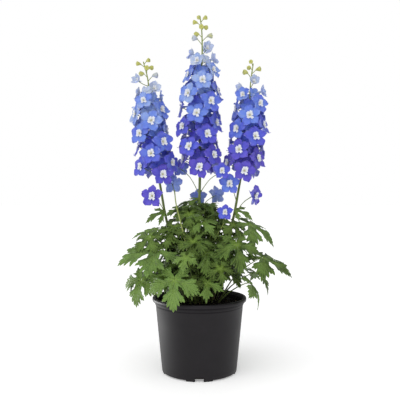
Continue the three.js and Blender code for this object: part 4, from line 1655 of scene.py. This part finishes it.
SPIKES = [
    Spike(
        "centre",
        [(2, 2, 145), (1, 2, 260), (-1, 0, 350), (1, 0, 430), (3, 0, 640), (6, 0, 700),
         (5, 0, 762), (1, 0, 792)],
        (4.2, 1.3), 454, 9, 31, 0, (38, 22), Buds(736, 7.6, 8, (26, 17)),
        [Bract(384, -52, 34, -24), Bract(370, 58, 46, 26)], 11, 0.02,
    ),
    Spike(
        "left",
        [(-26, 4, 145), (-48, 3, 235), (-75, 0, 342), (-87, 0, 410), (-96, 0, 460), (-110, 0, 565),
         (-115, 0, 650), (-125, 0, 690)],
        (3.8, 1.2), 438, 9, 24, 24, (34, 22), Buds(656, 6.4, 6, (25, 18)),
        [Bract(354, -78, 50, -38), Bract(330, 100, 34, 0)], 23, 0.12,
    ),
    Spike(
        "right",
        [(27, 6, 145), (50, 5, 245), (76, 0, 342), (90, 0, 418), (103, 0, 487), (110, 0, 540),
         (114, 0, 640), (120, 0, 686)],
        (3.8, 1.2), 446, 9.3, 22, 6, (34, 22), Buds(654, 7.4, 5, (25, 18)),
        [Bract(359, 76, 46, 34), Bract(326, 150, 36, 0)], 37, -0.1,
    ),
]

SHOOTS = {
    "side_left": ([(-12, -14, 145), (-20, -46, 230), (-28, -60, 284), (-39, -56, 330), (-51, -32, 374),
                   (-55, -12, 404)], (2.4, 1.1)),
    "side_front": ([(14, -14, 145), (22, -34, 240), (34, -44, 297), (54, -31, 332)], (2.2, 1.1)),
}


@dataclass
class LooseFloret:
    """A floret that stands clear of the racemes on a stalk of its own."""

    name: str
    at: tuple[float, float, float]
    azimuth: float
    tilt: float
    radius: float
    stem: str
    branch: float  # the height at which its stalk leaves the stem
    climb: float = 0.05


# Half widths of the sepals of a half-open floret, from foot to tip.
BELL_WIDTHS = (0.1, 0.2, 0.3, 0.38, 0.42, 0.43, 0.38, 0.26, 0.06)

LOOSE_FLORETS = [
    LooseFloret("low_left", (-102, -40, 391), -18, 6, 27, "left", 352, -0.05),
    LooseFloret("side_right", (123, -6, 392), 56, -8, 26, "right", 345),
    LooseFloret("low_front", (56, -36, 356), -16, 12, 19.5, "side_front", 327, 0.3),
    LooseFloret("middle_left", (-60, 12, 419), 168, -6, 24, "side_left", 376, 0.6),
    LooseFloret("upper_left", (-44, 37, 456), 168, 4, 22, "centre", 394, 0.5),
    LooseFloret("middle_right", (66, -21, 418), -4, 8, 25, "right", 378, 0.5),
    LooseFloret("upper_right", (48, -36, 446), 12, 10, 21, "centre", 396, 0.3),
    LooseFloret("back_right", (38, 30, 394), 140, 12, 23, "centre", 356, 0.6),
    LooseFloret("back_left", (-2, 50, 388), 190, 12, 22, "centre", 344, 0.5),
]

# Each leaf's light sets a painted shade or light on its green: low for leaves lying in shade, high for those
# in full light.
LEAVES = [
    Leaf("left_large", (-90, -74, 276), 190, 4, -26, 90, 2, light=1.0),
    Leaf("left_low", (-124, -62, 211), 226, 58, -16, 57, 2, light=1),
    Leaf("left_folded", (-74, -74, 224), 202, 14, -58, 42, 1, light=0.6),
    Leaf("front_left", (-52, -107, 219), 266, 57, 0, 66, 2, light=1),
    Leaf("front_bright", (-28, -114, 266), 250, 46, -6, 34, 1, light=-0.1),
    Leaf("front_centre", (12, -76, 272), 274, 52, 4, 54, 2, light=-1.0),
    Leaf("front_low", (16, -90, 210), 262, 52, 0, 44, 1, light=-0.1),
    Leaf("right_large", (79, -75, 289), 290, 52, 6, 62, 2, light=-0.85),
    Leaf("right_outer", (138, -50, 257), 342, 20, 11, 76, 2, light=-0.5),
    Leaf("right_upper", (113, -8, 326), 356, 24, 18, 74, 2, light=-0.1),
    Leaf("right_low", (112, -58, 202), 348, 52, -4, 54, 2, light=0.4),
    Leaf("middle_right", (43, -104, 242), 286, 56, 6, 38, 1, light=-1.0),
    Leaf("middle_left", (-65, -57, 305), 250, 44, -8, 34, 1, light=-0.1),
    Leaf("top_centre", (6, -44, 334), 308, 24, 20, 46, 1, light=-0.1),
    Leaf("top_left", (-44, -8, 360), 268, 34, 0, 40, 1, light=-0.3),
    Leaf("top_right", (36, 6, 322), 286, 40, 10, 38, 1, light=-0.7),
    Leaf("left_upper", (-118, 15, 308), 184, 6, -14, 40, 1, light=0.9),
    Leaf("left_high", (-97, -17, 317), 192, 8, -16, 38, 1, light=0.8),
]

# Tiers of leaves round the back: name, count, from, to, radius, height, pitch, length.
BACK_TIERS = [
    ("low", 5, 18, 162, 138, 212, 34, 58),
    ("high", 3, 40, 140, 92, 284, 24, 60),
    ("crown", 2, 50, 128, 42, 362, 26, 44),
]


def back_leaves() -> list[Leaf]:
    """The leaves round the back, by tier."""
    made = []
    for tier, count, low, high, radius, height, pitch, length in BACK_TIERS:
        for i in range(count):
            heading = lerp(low, high, i / (count - 1))
            at = (*polar(radius, heading), height + (i % 2) * 14)
            made.append(Leaf(f"back_{tier}_{i + 1}", at, heading, pitch, 0, length, 1))
    return made


@dataclass
class Undergrowth:
    """A ring of small leaves that fill the mound between the large ones."""

    name: str
    count: int
    radius: tuple[float, float]
    height: tuple[float, float]
    length: tuple[float, float]
    pitch: tuple[float, float]
    start: float
    seed: int
    # Painted shade: rings deep inside the mound are given darker greens.
    light: float = 0.0

    def leaves(self) -> list[Leaf]:
        """The leaves, spread round the crown by the golden angle."""
        draw = jitter(self.seed)
        made = []
        for i in range(self.count):
            climb = (i + 0.5) / self.count
            heading = self.start + GOLDEN_ANGLE * i + draw() * 12
            reach = lerp(*self.radius, climb) * (1 + draw() * 0.12)
            at = (*polar(reach, heading), lerp(*self.height, climb) + draw() * 8)
            made.append(Leaf(f"{self.name}_{i + 1}", at, heading + draw() * 24, between(self.pitch, draw),
                             draw() * 22, between(self.length, draw), 1 + i % 2, light=self.light))
        return made


# Leaves that close the mound's front between the large ones, each with its painted light or shade.
FRONT_FILL = [
    Leaf("fill_left", (-106, -58, 302), 204, 34, -24, 50, 2, light=0.5),
    Leaf("fill_left_inner", (-58, -50, 322), 248, 46, -6, 42, 2, light=0.3),
    Leaf("fill_top_left", (-22, -40, 352), 262, 48, 4, 40, 2, light=0.2),
    Leaf("fill_top_right", (36, -8, 350), 326, 36, 8, 38, 2, light=0.0),
    Leaf("fill_right_inner", (74, -28, 328), 318, 46, 6, 44, 2, light=-0.2),
    Leaf("fill_middle", (-14, -86, 296), 262, 56, -4, 42, 2, light=0.3),
]

# The last number of each ring is its painted light: the deeper rings are painted darker, as shade.
UNDERGROWTH = [
    Undergrowth("heart_fill", 18, (30, 58), (208, 306), (44, 56), (18, 56), 268, 304, -1.0),
    Undergrowth("low_fill", 12, (96, 62), (206, 250), (38, 52), (24, 52), 262, 301, -0.8),
    Undergrowth("middle_fill", 14, (82, 44), (246, 300), (38, 54), (16, 44), 248, 302, -0.5),
    Undergrowth("high_fill", 26, (76, 16), (292, 368), (32, 48), (-24, 42), 270, 305, -0.15),
    Undergrowth("crest_fill", 8, (48, 16), (342, 366), (26, 34), (-56, -18), 262, 306, 0.4),
]


def loose_blooms(stems: dict[str, Path]) -> dict[str, Bloom]:
    """The florets that stand clear of the racemes, by name."""
    made = {}
    for one in LOOSE_FLORETS:
        at = np.array(one.at, float)
        start = stems[one.stem].at_height(one.branch)
        end = moved(facing(one.azimuth, one.tilt, 0, at), np.array([[0, -2, -5]]))[0]
        middle = start * 0.5 + end * 0.5
        middle[2] = lerp(start[2], end[2], 0.68)
        made[one.name] = Bloom(at, one.azimuth, one.tilt, 0, one.radius, 0.12, Path([start, middle, end], 8),
                               one.climb, 0.2)
    return made


# ---------------------------------------------------------------- studio


@dataclass
class Studio:
    """A white floor, soft light all round and a camera in front."""

    focal: float = 50.4
    sensor: float = 36
    camera_at: tuple[float, float, float] = (1.3, -1252.8, 398.4)
    pitch_down: float = 0.757  # degrees
    floor_reach: float = 30000
    world_strength: float = 0.56
    sun_strength: float = 1.3
    sun_width: float = 80  # degrees
    sun_from: tuple[float, float, float] = (-0.35, -0.85, 0.9)
    panel_strengths: tuple[float, float] = (10.5, 0.2)  # watts, left and right
    panel_size: tuple[float, float] = (0.8, 0.15)  # metres
    panel_place: tuple[float, float, float] = (1.0, 0.35, 0.08)  # metres, of the right one

    def floor(self) -> None:
        """A white floor that runs far behind the pot."""
        select_only()
        bpy.ops.mesh.primitive_plane_add(size=self.floor_reach * MM)
        plane = bpy.context.object
        plane.name = "floor"
        paint(plane, Backdrop().make())

    def lamp(self, name: str, kind: str, at: Vector, aim: Vector, **settings: object) -> Piece:
        """A lamp at a place in metres that shines toward another, with its settings by name."""
        data = bpy.data.lights.new(name, kind)
        for key, value in settings.items():
            setattr(data, key, value)
        lamp = bpy.data.objects.new(name, data)
        bpy.context.scene.collection.objects.link(lamp)
        lamp.location = at
        lamp.rotation_euler = (aim - at).to_track_quat("-Z", "Y").to_euler()
        return lamp

    def panels(self) -> None:
        """Low panels behind and beside the pot that show only as a soft gloss on its flanks."""
        for name, side, strength in zip(("left_panel", "right_panel"), (-1, 1), self.panel_strengths):
            aside, behind, height = self.panel_place
            panel = self.lamp(name, "AREA", Vector((side * aside, behind, height)), Vector((0, 0, height)),
                              shape="RECTANGLE", size=self.panel_size[0], size_y=self.panel_size[1],
                              energy=strength)
            panel.visible_diffuse = False
            panel.visible_camera = False

    def sky(self) -> None:
        """An even white world, full white where the camera sees it."""
        world = bpy.data.worlds.new("white_studio")
        world.use_nodes = True
        seen = add_node(world.node_tree, "LightPath").outputs["Is Camera Ray"]
        inputs = {"Value": seen, "To Min": self.world_strength, "To Max": 1.0}
        level = add_node(world.node_tree, "MapRange", inputs).outputs["Result"]
        feed(world.node_tree.nodes["Background"], {"Color": (1, 1, 1, 1), "Strength": level})
        bpy.context.scene.world = world

    def camera(self) -> None:
        """The camera in front, at half the plant's height and almost level."""
        data = bpy.data.cameras.new("camera")
        data.lens, data.sensor_width, data.clip_end = self.focal, self.sensor, 100
        camera = bpy.data.objects.new("camera", data)
        bpy.context.scene.collection.objects.link(camera)
        camera.location = [c * MM for c in self.camera_at]
        camera.rotation_euler = (math.radians(90 - self.pitch_down), 0, 0)
        bpy.context.scene.camera = camera

    def build(self) -> None:
        """Sets up the floor, the lights and the camera."""
        self.floor()
        self.panels()
        self.sky()
        bpy.context.scene.view_settings.view_transform = "Standard"
        self.lamp("high_soft_light", "SUN", Vector(), -Vector(self.sun_from), energy=self.sun_strength,
                  angle=math.radians(self.sun_width))
        self.camera()


# ---------------------------------------------------------------- main


def main() -> None:
    """Builds the plant and its studio, and reports each piece."""
    logging.basicConfig(level=logging.INFO, format="%(message)s")
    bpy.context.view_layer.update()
    finishes = Finishes()
    NurseryPot().build(finishes)
    Compost().build(finishes)

    florets = [FloretModel(variant) for variant in range(4)]
    models = [one.build(finishes) for one in florets]
    inner = FloretModel(7, has_bee=False, sepal_rows=6, sepal_columns=5).build(finishes)
    bell = FloretModel(9, sepal_widths=BELL_WIDTHS, ruffle=0.4).build(finishes)
    builder = SpikeBuilder(finishes, florets[0], models, inner, bell, BladeModel(finishes, full=0.72))
    for spike in SPIKES:
        builder.build(spike)
    stems = {spike.name: spike.curve for spike in SPIKES}
    for name, (path, radii) in SHOOTS.items():
        stems[name] = Path(path)
        builder.stem(f"stalk_{name}", stems[name], radii, f"shoot_{name}", fresh=0.6)
    for name, bloom in loose_blooms(stems).items():
        builder.florets_of(f"bloom_{name}", [bloom], f"floret_{name}")
        builder.pedicels(f"pedicel_{name}", [bloom])
    discard(inner, bell, *models)
    Foliage([*LEAVES, *back_leaves()], BladeModel(finishes)).build(finishes)
    # The fill leaves sit inside the mound, so their greens are painted darker, as shade.
    small_blades = BladeModel(finishes, rows=6, spacing=0.094, tone_and_shade_range=(-0.15, 0.42))
    fill = FRONT_FILL + [leaf for ring in UNDERGROWTH for leaf in ring.leaves()]
    Foliage(fill, small_blades).build(finishes, in_frame=False)
    Studio().build()
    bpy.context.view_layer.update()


if __name__ == "__main__":
    main()
